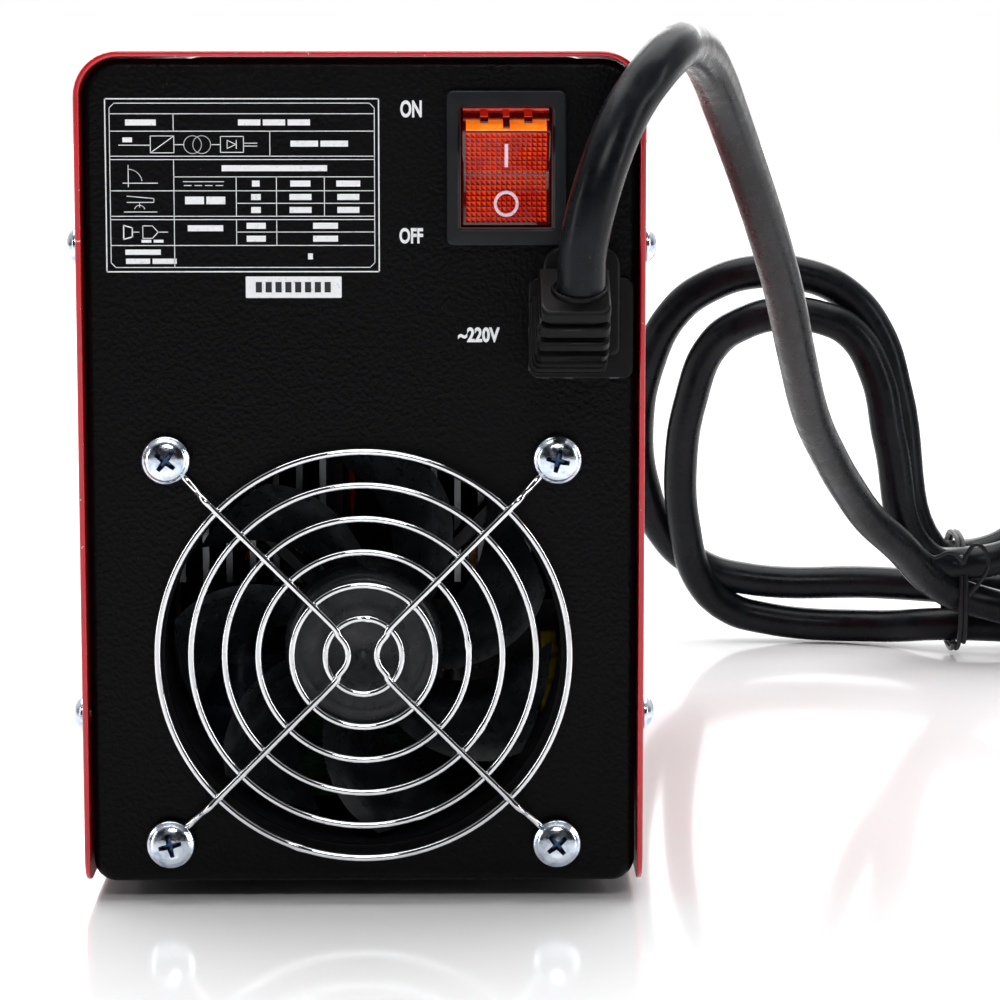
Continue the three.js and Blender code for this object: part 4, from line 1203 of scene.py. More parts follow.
class WELDER_OT_rear_print(WelderOperator):
    """Print the rear panel: the switch words, the supply mark, and a rating grid of plain bars"""

    bl_idname = "welder.rear_print"
    bl_label = "Rear printing"

    def build(self):
        place = facing_rear(REAR_Y)
        bm = bmesh.new()
        lettering(bm, "ON", (10.6 * MM, 169.0 * MM), 3.6 * MM, place, squeeze=0.62, weight=0.035)
        lettering(bm, "OFF", (10.5 * MM, 142.6 * MM), 3.3 * MM, place, squeeze=0.66, weight=0.035)
        lettering(bm, "~220V", (24.6 * MM, 121.8 * MM), 3.2 * MM, place, squeeze=0.78, weight=0.04)
        make_piece("switch_words", bm, ["white_ink"], "case")
        self.rating_grid(place)
        self.serial_label(place)

    def rating_grid(self, place):
        """A ruled grid with rows of plain bars for its entries, and simple circuit symbols."""
        left, right = -53.2, 3.8
        top, bottom = 171.1, 135.1
        fine, bold = 0.16 * MM, 0.26 * MM
        bm = bmesh.new()

        def rule(points, width=fine):
            printed_line(bm, place, [(x * MM, z * MM) for x, z in points], width)

        def bars(x, z, width, height=1.25, words=1):
            """Stands for an entry: a row of bars with gaps like words."""
            gap = 0.5
            each = (width - gap * (words - 1)) / words
            for word in range(words):
                start = x - width / 2 + word * (each + gap)
                flat_print(
                    bm, place, (start * MM, (start + each) * MM), ((z - height / 2) * MM, (z + height / 2) * MM)
                )

        rule([(left, bottom), (right, bottom), (right, top), (left, top), (left, bottom)], bold)
        inner = [(left + 0.9, bottom + 1.9), (left + 1.9, bottom + 0.9), (right - 1.9, bottom + 0.9)]
        inner += [(right - 0.9, bottom + 1.9), (right - 0.9, top - 1.9), (right - 1.9, top - 0.9)]
        inner += [(left + 1.9, top - 0.9), (left + 0.9, top - 1.9), (left + 0.9, bottom + 1.9)]
        rule(inner)
        full = (left + 0.9, right - 0.9)
        rows = [168.0, 164.4, 159.2, 158.5, 146.7, 146.0]
        for z in rows:
            rule([(full[0], z), (full[1], z)])
        columns = {"label": -39.0, "figures": -26.0, "first": -17.6, "second": -7.6}
        rule([(columns["label"], 154.9), (full[1], 154.9)])
        rule([(full[0], 152.0), (full[1], 152.0)])
        rule([(columns["figures"], 149.4), (full[1], 149.4)])
        rule([(columns["figures"], 143.4), (full[1], 143.4)])
        rule([(full[0], 140.6), (full[1], 140.6)])
        rule([(columns["label"], 168.0), (columns["label"], 164.4)])
        rule([(columns["label"], 158.5), (columns["label"], 136.0)])
        rule([(-18.9, 164.4), (-18.9, 159.2)])
        rule([(columns["figures"], 154.9), (columns["figures"], 146.7)])
        rule([(columns["figures"], 146.0), (columns["figures"], 140.6)])
        for name in ("first", "second"):
            rule([(columns[name], 154.9), (columns[name], 146.7)])
        rule([(columns["first"], 146.0), (columns["first"], 140.6)])

        bars(-45.8, 166.2, 6.4)
        bars(-18.0, 166.2, 15.0, words=3)
        bars(-8.6, 161.8, 12.0, words=2)
        bars(-18.0, 156.7, 22.0, words=1)
        bars(-21.9, 153.5, 1.6)
        bars(-12.6, 153.5, 4.2)
        bars(-2.6, 153.5, 5.0)
        for z in (150.7, 148.0):
            bars(-21.9, z, 2.0)
            bars(-12.6, z, 4.6)
            bars(-2.6, z, 4.6)
        bars(-32.5, 150.0, 8.4, 1.6, words=2)
        for z in (144.7, 142.0):
            bars(-21.9, z, 4.0)
            bars(-7.4, z, 5.2)
        bars(-32.5, 144.2, 7.4)
        bars(-45.6, 139.2, 7.4, 1.1)
        bars(-43.9, 137.3, 10.6, 1.1, words=2)
        bars(-10.6, 138.3, 1.0)

        bars(-48.6, 162.6, 2.0, 1.0)
        rule([(-50.4, 161.5), (-43.8, 161.5)])
        rule([(-43.8, 159.9), (-38.9, 159.9), (-38.9, 163.4), (-43.8, 163.4), (-43.8, 159.9)])
        rule([(-43.8, 159.9), (-38.9, 163.4)])
        rule([(-38.9, 161.6), (-36.8, 161.6)])
        for x in (-35.0, -33.1):
            printed_ring(bm, place, (x * MM, 161.6 * MM), 1.85 * MM, fine)
        rule([(-31.2, 161.6), (-29.2, 161.6)])
        rule([(-29.2, 160.0), (-24.4, 160.0), (-24.4, 163.3), (-29.2, 163.3), (-29.2, 160.0)])
        rule([(-27.8, 160.8), (-27.8, 162.5), (-26.0, 161.65), (-27.8, 160.8)])
        rule([(-25.9, 160.8), (-25.9, 162.5)])
        rule([(-24.4, 161.9), (-21.6, 161.9)])
        rule([(-24.4, 161.3), (-21.6, 161.3)])

        rule([(-48.5, 157.3), (-48.5, 152.9)])
        rule([(-49.6, 153.6), (-42.4, 153.6)])
        printed_ring(bm, place, (-48.5 * MM, 153.6 * MM), 2.9 * MM, fine, (10, 90), 10)
        rule([(-37.0, 153.9), (-28.6, 153.9)])
        for dash in range(4):
            rule([(-36.8 + dash * 2.2, 153.1), (-35.4 + dash * 2.2, 153.1)])
        rule([(-48.8, 150.9), (-43.2, 150.4), (-43.2, 149.6), (-48.8, 149.6)])
        rule([(-46.2, 149.6), (-46.2, 148.6)])
        rule([(-49.4, 147.6), (-42.6, 147.6)])
        printed_ring(bm, place, (-46.2 * MM, 147.9 * MM), 1.1 * MM, fine, (20, 160), 8)
        rule([(-49.6, 144.8), (-49.6, 141.9), (-47.8, 142.4), (-47.8, 144.3), (-49.6, 144.8)], bold)
        rule([(-47.8, 143.4), (-46.4, 143.4)])
        rule([(-45.6, 144.7), (-45.6, 142.1), (-43.6, 142.1), (-42.4, 143.4), (-43.6, 144.7), (-45.6, 144.7)])
        rule([(-42.4, 143.4), (-40.4, 143.4)])
        bars(-43.6, 141.5, 4.6, 0.6, words=2)
        make_piece("rating_grid", bm, ["white_ink"], "case")

    def serial_label(self, place):
        """A small white label with plain dark bars where its digits would be."""
        bm = bmesh.new()
        outline = lambda inset: rounded_outline(
            (-14.15 * MM, 131.85 * MM), (10.05 * MM, 2.25 * MM), (0.2 * MM, 0.2 * MM), inset, 3
        )
        layered(bm, [(outline, [(0.05 * MM, -0.10 * MM), (0.0, -0.06 * MM), (0.0, 0.0)])], place)
        for digit in range(8):
            start = -22.1 + digit * 2.06
            flat_print(bm, place, (start * MM, (start + 1.3) * MM), (130.75 * MM, 132.95 * MM), 1, 0.13 * MM)
        make_piece("serial_label", bm, ["white_ink", "black_ink"], "case")


# ---- screws ---------------------------------------------------------------------------------------


def cross_recess(bm, width, reach, depth, axis, origin, twist):
    """A closed cross-shaped wedge that tapers towards its floor, to be cut out of a screw head."""
    axis = Vector(axis).normalized()
    side = axis.orthogonal().normalized()
    other = axis.cross(side)
    turn = Matrix.Rotation(twist, 3, axis)
    side, other = turn @ side, turn @ other
    outline = []
    corner = width / 2
    for quarter in range(4):
        angle = quarter * math.pi / 2
        for across, along in ((corner, -corner), (reach, -corner * 0.75), (reach, corner * 0.75), (corner, corner)):
            outline.append(
                (
                    across * math.cos(angle) - along * math.sin(angle),
                    across * math.sin(angle) + along * math.cos(angle),
                )
            )
    rows = []
    for lift, shrink in ((depth * 0.6, 1.12), (0.0, 1.0), (-depth, 0.52)):
        row = []
        for across, along in outline:
            point = Vector(origin) + axis * lift + (side * across + other * along) * shrink
            row.append(bm.verts.new(point))
        rows.append(row)
    for lower, upper in zip(rows, rows[1:]):
        skin_between(bm, lower, upper)
    bm.faces.new(rows[0])
    bm.faces.new(rows[-1])


def cut_with(piece, tool_bm):
    """Cuts a closed tool out of a piece's mesh for good."""
    bmesh.ops.recalc_face_normals(tool_bm, faces=tool_bm.faces)
    mesh = bpy.data.meshes.new("cutting_tool")
    tool_bm.to_mesh(mesh)
    tool_bm.free()
    tool = bpy.data.objects.new("cutting_tool", mesh)
    bpy.context.scene.collection.objects.link(tool)
    modifier = piece.modifiers.new("cut", "BOOLEAN")
    modifier.operation = "DIFFERENCE"
    modifier.solver = "EXACT"
    modifier.object = tool
    bpy.context.view_layer.update()
    cut = bpy.data.meshes.new_from_object(piece.evaluated_get(bpy.context.evaluated_depsgraph_get()))
    piece.modifiers.remove(modifier)
    bpy.data.objects.remove(tool)
    bpy.data.meshes.remove(mesh)
    cut.name = piece.name
    piece.data = cut


class WELDER_OT_screws(WelderOperator):
    """Turn the cross-recessed screws of the guard and of the cover's sides"""

    bl_idname = "welder.screws"
    bl_label = "Screws"

    def build(self):
        for index, node in enumerate(GUARD_SCREWS):
            low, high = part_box(node)
            head_radius = 5.2 * MM
            place = Vector(((low.x + high.x) / 2, low.y + 2.8 * MM, (low.z + high.z) / 2))
            self.screw(f"guard_fastener_{index + 1}", node, place, (0, -1, 0), head_radius, 2.8 * MM, index)
        for index, node in enumerate(COVER_SCREWS):
            low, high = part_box(node)
            side = 1 if low.x > 0 else -1
            seat = COVER_HIGH.x + 0.3 * MM
            place = Vector((side * seat, (low.y + high.y) / 2, (low.z + high.z) / 2))
            self.screw(
                f"cover_fastener_{index + 1}", node, place, (side, 0, 0), (high.z - low.z) / 2, 2.4 * MM, index
            )

    def screw(self, name, node, place, axis, radius, height, number):
        """A pan head with a flange rim, a short threaded shank and a cross recess."""
        profile = [(0.0, height)]
        for step in range(1, 9):
            share = step / 8
            profile.append((radius * 0.86 * math.sin(share * 1.35) / math.sin(1.35), height * (0.34 + 0.66 * math.cos(share * 1.35))))
        profile += [(radius * 0.93, height * 0.40), (radius * 0.985, height * 0.30), (radius, height * 0.17)]
        profile += [(radius * 0.985, height * 0.04), (radius * 0.95, 0.0)]
        shank = 1.75 * MM
        pitch = 0.7 * MM
        profile.append((shank, 0.0))
        for ridge in range(1, 7):
            profile += [(shank - 0.3 * MM, -(ridge - 0.5) * pitch), (shank, -ridge * pitch)]
        profile.append((0.0, -7 * pitch))
        bm = bmesh.new()
        turned(bm, profile, place, axis, 56)
        piece = make_piece(name, bm, ["zinc_screw"], "case", [node], crease=40.0)
        tool = bmesh.new()
        top = place + Vector(axis) * height
        twist = 0.12 + number * 0.45
        cross_recess(tool, radius * 0.24, radius * 0.52, height * 0.68, axis, top, twist)
        cut_with(piece, tool)
        # Painted shade: the faces sunk in the cross recess take the dark blue copy of the zinc.
        piece.data.materials.append(finish_of("recess_painted_shade"))
        for face in piece.data.polygons:
            away = face.center - top
            depth = -away.dot(Vector(axis))
            reach = (away + Vector(axis) * depth).length
            sunk = 0.12 * MM + (reach / radius) ** 2 * height * 0.55 < depth < height * 0.75
            if sunk and reach < radius * 0.56:
                face.material_index = 1


# ---- fan ------------------------------------------------------------------------------------------


class WELDER_OT_fan(WelderOperator):
    """Build the fan's frame, its swept-blade rotor and the welded wire guard"""

    bl_idname = "welder.fan"
    bl_label = "Fan"

    def build(self):
        self.frame_ring()
        self.rotor()
        self.guard()

    def frame_ring(self):
        """The moulded square frame with its bell mouth, corner flanges, struts and motor seat."""
        centre = (FAN_CENTRE.x, FAN_CENTRE.z)
        half = (FAN_HIGH.x - FAN_LOW.x) / 2
        depth = FAN_HIGH.y - FAN_LOW.y
        bore = 42.5 * MM
        outer = lambda inset: rounded_outline(centre, (half, half), (4 * MM, 4 * MM), inset, 6)
        outer_steps = [(0.4 * MM, 0.0), (0.0, 0.4 * MM), (0.0, 3.4 * MM), (1.5 * MM, 3.9 * MM)]
        outer_steps += [(1.5 * MM, depth - 3.9 * MM), (0.0, depth - 3.4 * MM), (0.0, depth - 0.4 * MM)]
        outer_steps += [(0.4 * MM, depth)]
        hole = lambda inset: round_outline(centre, bore, inset, 96)
        hole_profile = [(-1.6 * MM, 0.0), (-0.5 * MM, 0.5 * MM), (0.0, 1.6 * MM), (0.0, depth - 2.0 * MM)]
        hole_profile += [(-0.8 * MM, depth)]
        rims = [(outer, outer_steps), (hole, hole_profile)]
        pitch = 41.25 * MM
        for across in (-pitch, pitch):
            for up in (-pitch, pitch):
                screw = lambda inset, across=across, up=up: round_outline(
                    (centre[0] + across, centre[1] + up), 2.2 * MM, inset, 20
                )
                rims.append((screw, [(-0.3 * MM, 0.0), (0.0, 0.3 * MM), (0.0, depth)]))
        bm = bmesh.new()
        layered(bm, rims, facing_rear(FAN_LOW.y))
        motor = [(0, 0), (15.0, 0), (15.8, 0.6), (16.0, 1.4), (16.0, 4.4), (1.9, 4.4)]
        back = Vector((FAN_CENTRE.x, FAN_HIGH.y, FAN_CENTRE.z))
        turned(bm, [(r * MM, d * MM) for r, d in motor + [(1.9, 2.0), (0, 2.0)]], back, (0, -1, 0), 48)
        for strut in range(4):
            angle = math.pi / 4 + strut * math.pi / 2
            outward = Vector((math.cos(angle), 0, math.sin(angle)))
            sideways = Vector((-math.sin(angle), 0, math.cos(angle)))
            rows = []
            for reach, half_width in ((14 * MM, 2.4 * MM), (22 * MM, 1.8 * MM), (43.4 * MM, 2.2 * MM)):
                root = back + outward * reach
                rows.append(
                    [
                        bm.verts.new(root - sideways * half_width),
                        bm.verts.new(root + sideways * half_width),
                        bm.verts.new(root + sideways * half_width * 0.6 - Vector((0, 3.2 * MM, 0))),
                        bm.verts.new(root - sideways * half_width * 0.6 - Vector((0, 3.2 * MM, 0))),
                    ]
                )
            for lower, upper in zip(rows, rows[1:]):
                skin_between(bm, lower, upper)
            bm.faces.new(rows[0])
            bm.faces.new(rows[-1])
        ring = make_piece("fan_housing", bm, ["black_plastic"], "case", ["fan_frame"])
        hold_normals(ring)

    def rotor(self):
        """A cup hub and seven swept, twisted blades with rounded edges."""
        low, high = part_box("fan_rotor")
        hub = sizes().hub
        tip = sizes().blade_tip
        rear = low.y
        hub_depth = 18.5 * MM
        bm = bmesh.new()
        origin = Vector((FAN_CENTRE.x, rear, FAN_CENTRE.z))
        profile = [(0, 0.5), (0.7, 0.45), (1.3, 0.0), (13.0, 0.0), (14.6, 0.15), (15.6, 0.6), (16.3, 1.3)]
        profile += [(16.8, 2.3), (17.0, 3.6)]
        turned_profile = [(r * MM, d * MM) for r, d in profile]
        turned_profile += [(hub, hub_depth), (hub - 1.2 * MM, hub_depth), (hub - 1.2 * MM, 4.5 * MM)]
        turned_profile += [(1.5 * MM, 4.5 * MM), (1.5 * MM, high.y - rear), (0.0, high.y - rear)]
        turned(bm, turned_profile, origin, (0, 1, 0), 72)
        blades = 7
        stations = 12
        for blade in range(blades):
            rows = []
            for station in range(stations + 1):
                share = station / stations
                radius = hub - 0.8 * MM + (tip - hub + 0.8 * MM) * share
                sweep = TAU * blade / blades + 0.42 * share + 0.16 * share * share
                chord_angle = math.radians(58 - 22 * share)
                chord = (19.0 + 12.5 * share - 3.0 * max(0.0, share - 0.85) / 0.15) * MM
                row = []
                for point in self.blade_section():
                    around = point[0] * chord
                    rise = point[1] * 1.0 * MM * (1.35 - 0.5 * share)
                    camber = 0.055 * chord * (1 - (2 * point[0]) ** 2)
                    lift = rise + camber
                    arc = around * math.cos(chord_angle) - lift * math.sin(chord_angle)
                    axial = around * math.sin(chord_angle) + lift * math.cos(chord_angle)
                    axial = max(-8.6 * MM, min(8.6 * MM, axial))
                    angle = sweep + arc / radius
                    row.append(
                        bm.verts.new(
                            origin
                            + Vector((radius * math.cos(angle), 10.2 * MM + axial, radius * math.sin(angle)))
                        )
                    )
                rows.append(row)
            for lower, upper in zip(rows, rows[1:]):
                skin_between(bm, lower, upper)
            bm.faces.new(rows[0])
            bm.faces.new(rows[-1])
        make_piece("fan_blades", bm, ["fan_blades"], "rotor", ["fan_rotor"], crease=50.0)

    def blade_section(self):
        """A thin aerofoil: (share of the chord, share of the thickness) pairs round its outline."""
        upper = []
        steps = 7
        for step in range(steps + 1):
            share = step / steps
            thickness = math.sqrt(max(0.0, 1 - (2 * share - 1) ** 4))
            upper.append((share - 0.5, 0.5 * thickness + (0.04 if 0 < step < steps else 0.0)))
        lower = [(share, -lift) for share, lift in reversed(upper[1:-1])]
        return upper + lower

    def guard(self):
        """Six butt-welded rings under two hairpin legs whose ends are flattened into eyes."""
        radius = sizes().guard_wire
        ring_y = REAR_Y - 3.6 * MM
        leg_y = ring_y - 1.25 * radius
        centre = Vector((FAN_CENTRE.x, 0.0, FAN_CENTRE.z))
        ring_centre = centre + Vector((0.2 * MM, 0.0, -0.4 * MM))
        bm = bmesh.new()
        for ring in range(6):
            reach = sizes().guard_ring - ring * sizes().guard_pitch
            weld_angle = -1.9 + ring * 0.67
            count = 64 + int(reach / MM) * 2
            points, radii = [], []
            for step in range(count):
                angle = weld_angle + TAU * step / count
                points.append(ring_centre + Vector((reach * math.cos(angle), ring_y, reach * math.sin(angle))))
                gap = min(step, count - step) * TAU / count * reach
                radii.append(radius * (1.0 + 0.22 * math.exp(-((gap / (0.7 * MM)) ** 2))))
            wire(bm, points, radii, 14, closed=True)
            for quarter in range(4):
                angle = math.pi / 4 + quarter * math.pi / 2
                weld = centre + Vector((reach * math.cos(angle), ring_y - 0.6 * radius, reach * math.sin(angle)))
                self.weld_bead(bm, weld, radius * 1.15)
        eye_y = REAR_Y - 1.0 * MM
        slant = math.sqrt(0.5)
        for side in (-1, 1):
            for up in (-1, 1):
                eye = centre + Vector((side * 41.25 * MM, eye_y, up * 41.25 * MM))
                self.wire_eye(bm, eye, radius, side, up)
            half = [(54.2, eye_y / MM), (51.8, eye_y / MM - 0.3), (49.2, eye_y / MM - 1.7)]
            half += [(46.6, leg_y / MM - 0.1), (44, leg_y / MM), (36, leg_y / MM), (22, leg_y / MM), (9, leg_y / MM)]
            upper = [Vector((side * reach * slant, y, reach * slant)) * MM for reach, y in half]
            lower = [Vector((point.x, point.y, -point.z)) for point in reversed(upper)]
            leg = leg_y / MM
            bend = [(5.0, leg, 4.2), (3.6, leg, 2.3), (3.0, leg, 0), (3.6, leg, -2.3), (5.0, leg, -4.2)]
            bend = [Vector((side * x, y, z)) * MM for x, y, z in bend]
            route = smooth_route([centre + point for point in upper + bend + lower], 8)
            wire(bm, route, radius, 14)
        make_piece("wire_guard", bm, ["chrome_wire"], "case", ["fan_guard"], crease=60.0)

    def weld_bead(self, bm, place, radius):
        """A small squashed bead where two wires are spot-welded."""
        profile = [(0.0, radius)]
        for step in range(1, 6):
            angle = step / 6 * math.pi
            profile.append((radius * math.sin(angle), radius * math.cos(angle)))
        profile.append((0.0, -radius))
        turned(bm, profile, place, (0, 1, 0), 12)

    def wire_eye(self, bm, place, radius, side, up):
        """The flattened loop of wire that a guard screw clamps."""
        points = []
        for step in range(40):
            angle = TAU * step / 40
            points.append(place + Vector((3.1 * MM * math.cos(angle), 0.15 * MM, 3.1 * MM * math.sin(angle))))
        wire(bm, points, radius * 0.92, 10, closed=True)


# ---- power switch ---------------------------------------------------------------------------------


class WELDER_OT_power_switch(WelderOperator):
    """Mould the switch bezel and the lit rocker with its prism grid, windows and legends"""

    bl_idname = "welder.power_switch"
    bl_label = "Power switch"

    def build(self):
        self.bezel()
        self.rocker()

    def bezel(self):
        low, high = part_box("switch_housing")
        centre = ((low.x + high.x) / 2, (low.z + high.z) / 2)
        half = ((high.x - low.x) / 2, (high.z - low.z) / 2)
        mouth_half = (9.7 * MM, 12.6 * MM)
        proud = REAR_Y - 0.3 * MM - low.y
        outer = lambda inset: rounded_outline(centre, half, (1.4 * MM, 1.4 * MM), inset, 5)
        body_inset = half[0] - 10.8 * MM
        outer_steps = [(0.55 * MM, 0.0), (0.2 * MM, 0.12 * MM), (0.0, 0.5 * MM), (0.0, proud)]
        outer_steps += [(body_inset, proud), (body_inset, proud + 18.5 * MM)]
        mouth = lambda inset: rounded_outline(centre, mouth_half, (0.5 * MM, 0.5 * MM), inset, 3)
        mouth_steps = [(-0.45 * MM, 0.0), (-0.1 * MM, 0.3 * MM), (0.0, 0.8 * MM), (0.0, 17.0 * MM)]
        bm = bmesh.new()
        rims = [(outer, outer_steps), (mouth, mouth_steps)]
        layered(bm, rims, facing_rear(low.y))
        # Painted shade and glow: a thin liner in the rocker's deep shade red covers the black walls of the mouth.
        liner = lambda inset: rounded_outline(centre, mouth_half, (0.5 * MM, 0.5 * MM), inset, 3)
        wall = 0.22 * MM
        liner_steps = [(0.0, 1.3 * MM), (wall, 1.3 * MM), (wall, 14.0 * MM), (0.0, 14.0 * MM), (0.0, 1.3 * MM)]
        rows = []
        for inset, depth in liner_steps:
            rows.append([bm.verts.new(facing_rear(low.y)(x, z, depth)) for x, z in liner(inset)])
        for lower, upper in zip(rows, rows[1:]):
            skin_between(bm, lower, upper, 2)
        bmesh.ops.remove_doubles(bm, verts=rows[0] + rows[-1], dist=1e-7)
        floor_low = (centre[0] - mouth_half[0] - 0.5 * MM, low.y + 16.0 * MM, centre[1] - mouth_half[1] - 0.5 * MM)
        floor_high = (centre[0] + mouth_half[0] + 0.5 * MM, low.y + 17.5 * MM, centre[1] + mouth_half[1] + 0.5 * MM)
        bevelled_box(bm, floor_low, floor_high, 0.1 * MM)
        tab_root = low.y + 20 * MM
        for across in (-5 * MM, 5 * MM):
            for up in (-7 * MM, 7 * MM):
                tab_low = (centre[0] + across - 0.4 * MM, tab_root, centre[1] + up - 3.2 * MM)
                tab_high = (centre[0] + across + 0.4 * MM, high.y, centre[1] + up + 3.2 * MM)
                bevelled_box(bm, tab_low, tab_high, 0.15 * MM, 1)
        bezel = make_piece(
            "switch_bezel", bm, ["black_plastic", "brass", "rocker_deep_shade"], "case",
            ["switch_housing"],
        )
        hold_normals(bezel)

    def rocker(self):
        """A vee-faced rocker: a clear rim round a field of small prisms, with a lit band above it; the rim is
        coloured in a dark painted shade.
        """
        tilt = math.radians(14)
        turn = Matrix.Rotation(tilt, 3, "X")
        half_width = 9.2
        hollow_y, end_y, end_z = -6.4, -9.2, 10.2

        def place(across, forward, up):
            return ROCKER_PIVOT + turn @ (Vector((across, forward, up)) * MM)

        def face_y(up):
            """The smooth face's own Y at a height: two flats meeting in a soft ridge line."""
            return hollow_y + (end_y - hollow_y) * abs(up) / end_z

        bm = bmesh.new()
        body = []
        outline = [(end_y + 0.5, -end_z - 0.05), (end_y + 0.12, -end_z + 0.25)]
        outline += [(face_y(up), up) for up in (-9.2, -4.5, -1.2)]
        outline += [(hollow_y - 0.12, 0.0)]
        outline += [(face_y(up), up) for up in (1.2, 4.5, 9.2)]
        outline += [(end_y + 0.12, end_z - 0.25), (end_y + 0.5, end_z + 0.05), (1.6, 11.75), (2.1, 11.8)]
        outline += [(5.5, 6.0), (5.5, -6.0), (2.1, -11.8), (1.6, -11.75)]
        inset = 0.35
        for across, shrink in (
            (-half_width, 1.0), (-half_width + 0.1, 0.4), (-half_width + inset, 0.0),
            (half_width - inset, 0.0), (half_width - 0.1, 0.4), (half_width, 1.0),
        ):
            row = []
            for forward, up in outline:
                toward = Vector((0.0 - forward, 0.0 - up)).normalized() * inset * shrink
                row.append(bm.verts.new(place(across, forward + toward.x, up + toward.y)))
            body.append(row)
        # Painted shade: the rocker's body skin takes the deep shade copy of its red.
        for lower, upper in zip(body, body[1:]):
            skin_between(bm, lower, upper, 3)
        bm.faces.new(body[0]).material_index = 3
        bm.faces.new(body[-1]).material_index = 3
        self.prism_field(bm, place, face_y)
        self.lit_band(bm, place)
        rocker = make_piece(
            "rocker_button", bm,
            ["red_lens", "amber_band", "rocker_shade", "rocker_deep_shade", "rocker_glint"],
            "rocker", ["switch_rocker"], crease=20.0,
        )
        bm = bmesh.new()
        self.legends(bm, place, face_y)
        make_piece("rocker_legends", bm, ["legend_ink"], "rocker")
        return rocker

    def prism_field(self, bm, place, face_y):
        """Rows of four-sided points over the face, inside its clear rim; painted shade darkens their lower and left
        sides.
        """
        columns, rows = 16, 18
        width, bottom, top = 8.45, -9.5, 9.85
        height = 0.55
        for row in range(rows):
            low = bottom + (top - bottom) * row / rows
            high = bottom + (top - bottom) * (row + 1) / rows
            for column in range(columns):
                left = -width + 2 * width * column / columns
                right = left + 2 * width / columns
                root = 0.06
                corners = [
                    place(left, face_y(low) + root, low),
                    place(right, face_y(low) + root, low),
                    place(right, face_y(high) + root, high),
                    place(left, face_y(high) + root, high),
                ]
                middle_up = (low + high) / 2
                peak = place((left + right) / 2, face_y(middle_up) - height, middle_up)
                ring = [bm.verts.new(corner) for corner in corners]
                tip = bm.verts.new(peak)
                # Painted shade: lower sides take the deepest shade copy, left sides the lighter shade copy, upper
                # and right sides the lit lens.
                for side, lit_or_shaded in enumerate((3, 0, 0, 2)):
                    face = bm.faces.new((ring[side], ring[(side + 1) % 4], tip))
                    face.material_index = lit_or_shaded

    def lit_band(self, bm, place):
        """The bright band on the raised end, behind a clear bar and three dark ribs. Above it lies a band of painted
        shade and a line of painted highlight, and the ribs carry painted shade below and painted highlight above.
        """
        skirt = lambda share: (-9.0 + 10.8 * share, 10.32 + 1.5 * share)

        def slat(across, shares, heights, material):
            """A flat bar lying on the skirt: its span across, its reach back and its top and bottom."""
            near, far = skirt(shares[0]), skirt(shares[1])
            corners = [(across[0], *near), (across[1], *near), (across[1], *far), (across[0], *far)]
            outer = [bm.verts.new(place(x, y, z + heights[1])) for x, y, z in corners]
            inner = [bm.verts.new(place(x, y, z + heights[0])) for x, y, z in corners]
            bm.faces.new(outer).material_index = material
            bm.faces.new(inner[::-1]).material_index = material
            skin_between(bm, outer, inner, material)

        slat((-8.4, 8.4), (0.02, 0.50), (-0.1, 0.1), 1)
        # Painted shade: a darker copy of the red above the lit band; painted highlight: a bright line along its top.
        slat((-9.0, 9.0), (0.50, 0.90), (-0.1, 0.35), 2)
        slat((-9.0, 9.0), (0.90, 1.0), (-0.1, 0.85), 4)
        # The ribs: dark painted shade below, painted highlight above.
        for across, reach in ((-4.6, 0.34), (0.0, 0.08), (4.6, 0.34)):
            half = 0.85 if across else 0.7
            slat((across - half, across + half), (reach, 0.55), (0.1, 0.5), 3)
            slat((across - half, across + half), (0.55, 0.9), (0.35, 0.7), 4)

    def legends(self, bm, place, face_y):
        """The I and O marks of a power switch, standing on the prism tips."""
        lift = 0.62

        def raised(across, up, depth):
            return place(across / MM, face_y(up / MM) - lift - 0.1 + depth / MM, up / MM)

        bar = lambda inset: rounded_outline(
            (0.0, 4.8 * MM), (0.38 * MM, 2.7 * MM), (0.1 * MM, 0.1 * MM), inset, 3
        )
        steps = [(0.05 * MM, 0.0), (0.0, 0.05 * MM), (0.0, 0.4 * MM)]
        layered(bm, [(bar, steps)], raised)
        centre = (0.0, -5.55 * MM)
        outer = lambda inset: round_outline(centre, 2.6 * MM, inset, 56)
        inner = lambda inset: round_outline(centre, 1.98 * MM, -inset, 56)
        layered(bm, [(outer, steps), (inner, steps)], raised)


# ---- cable boot -----------------------------------------------------------------------------------


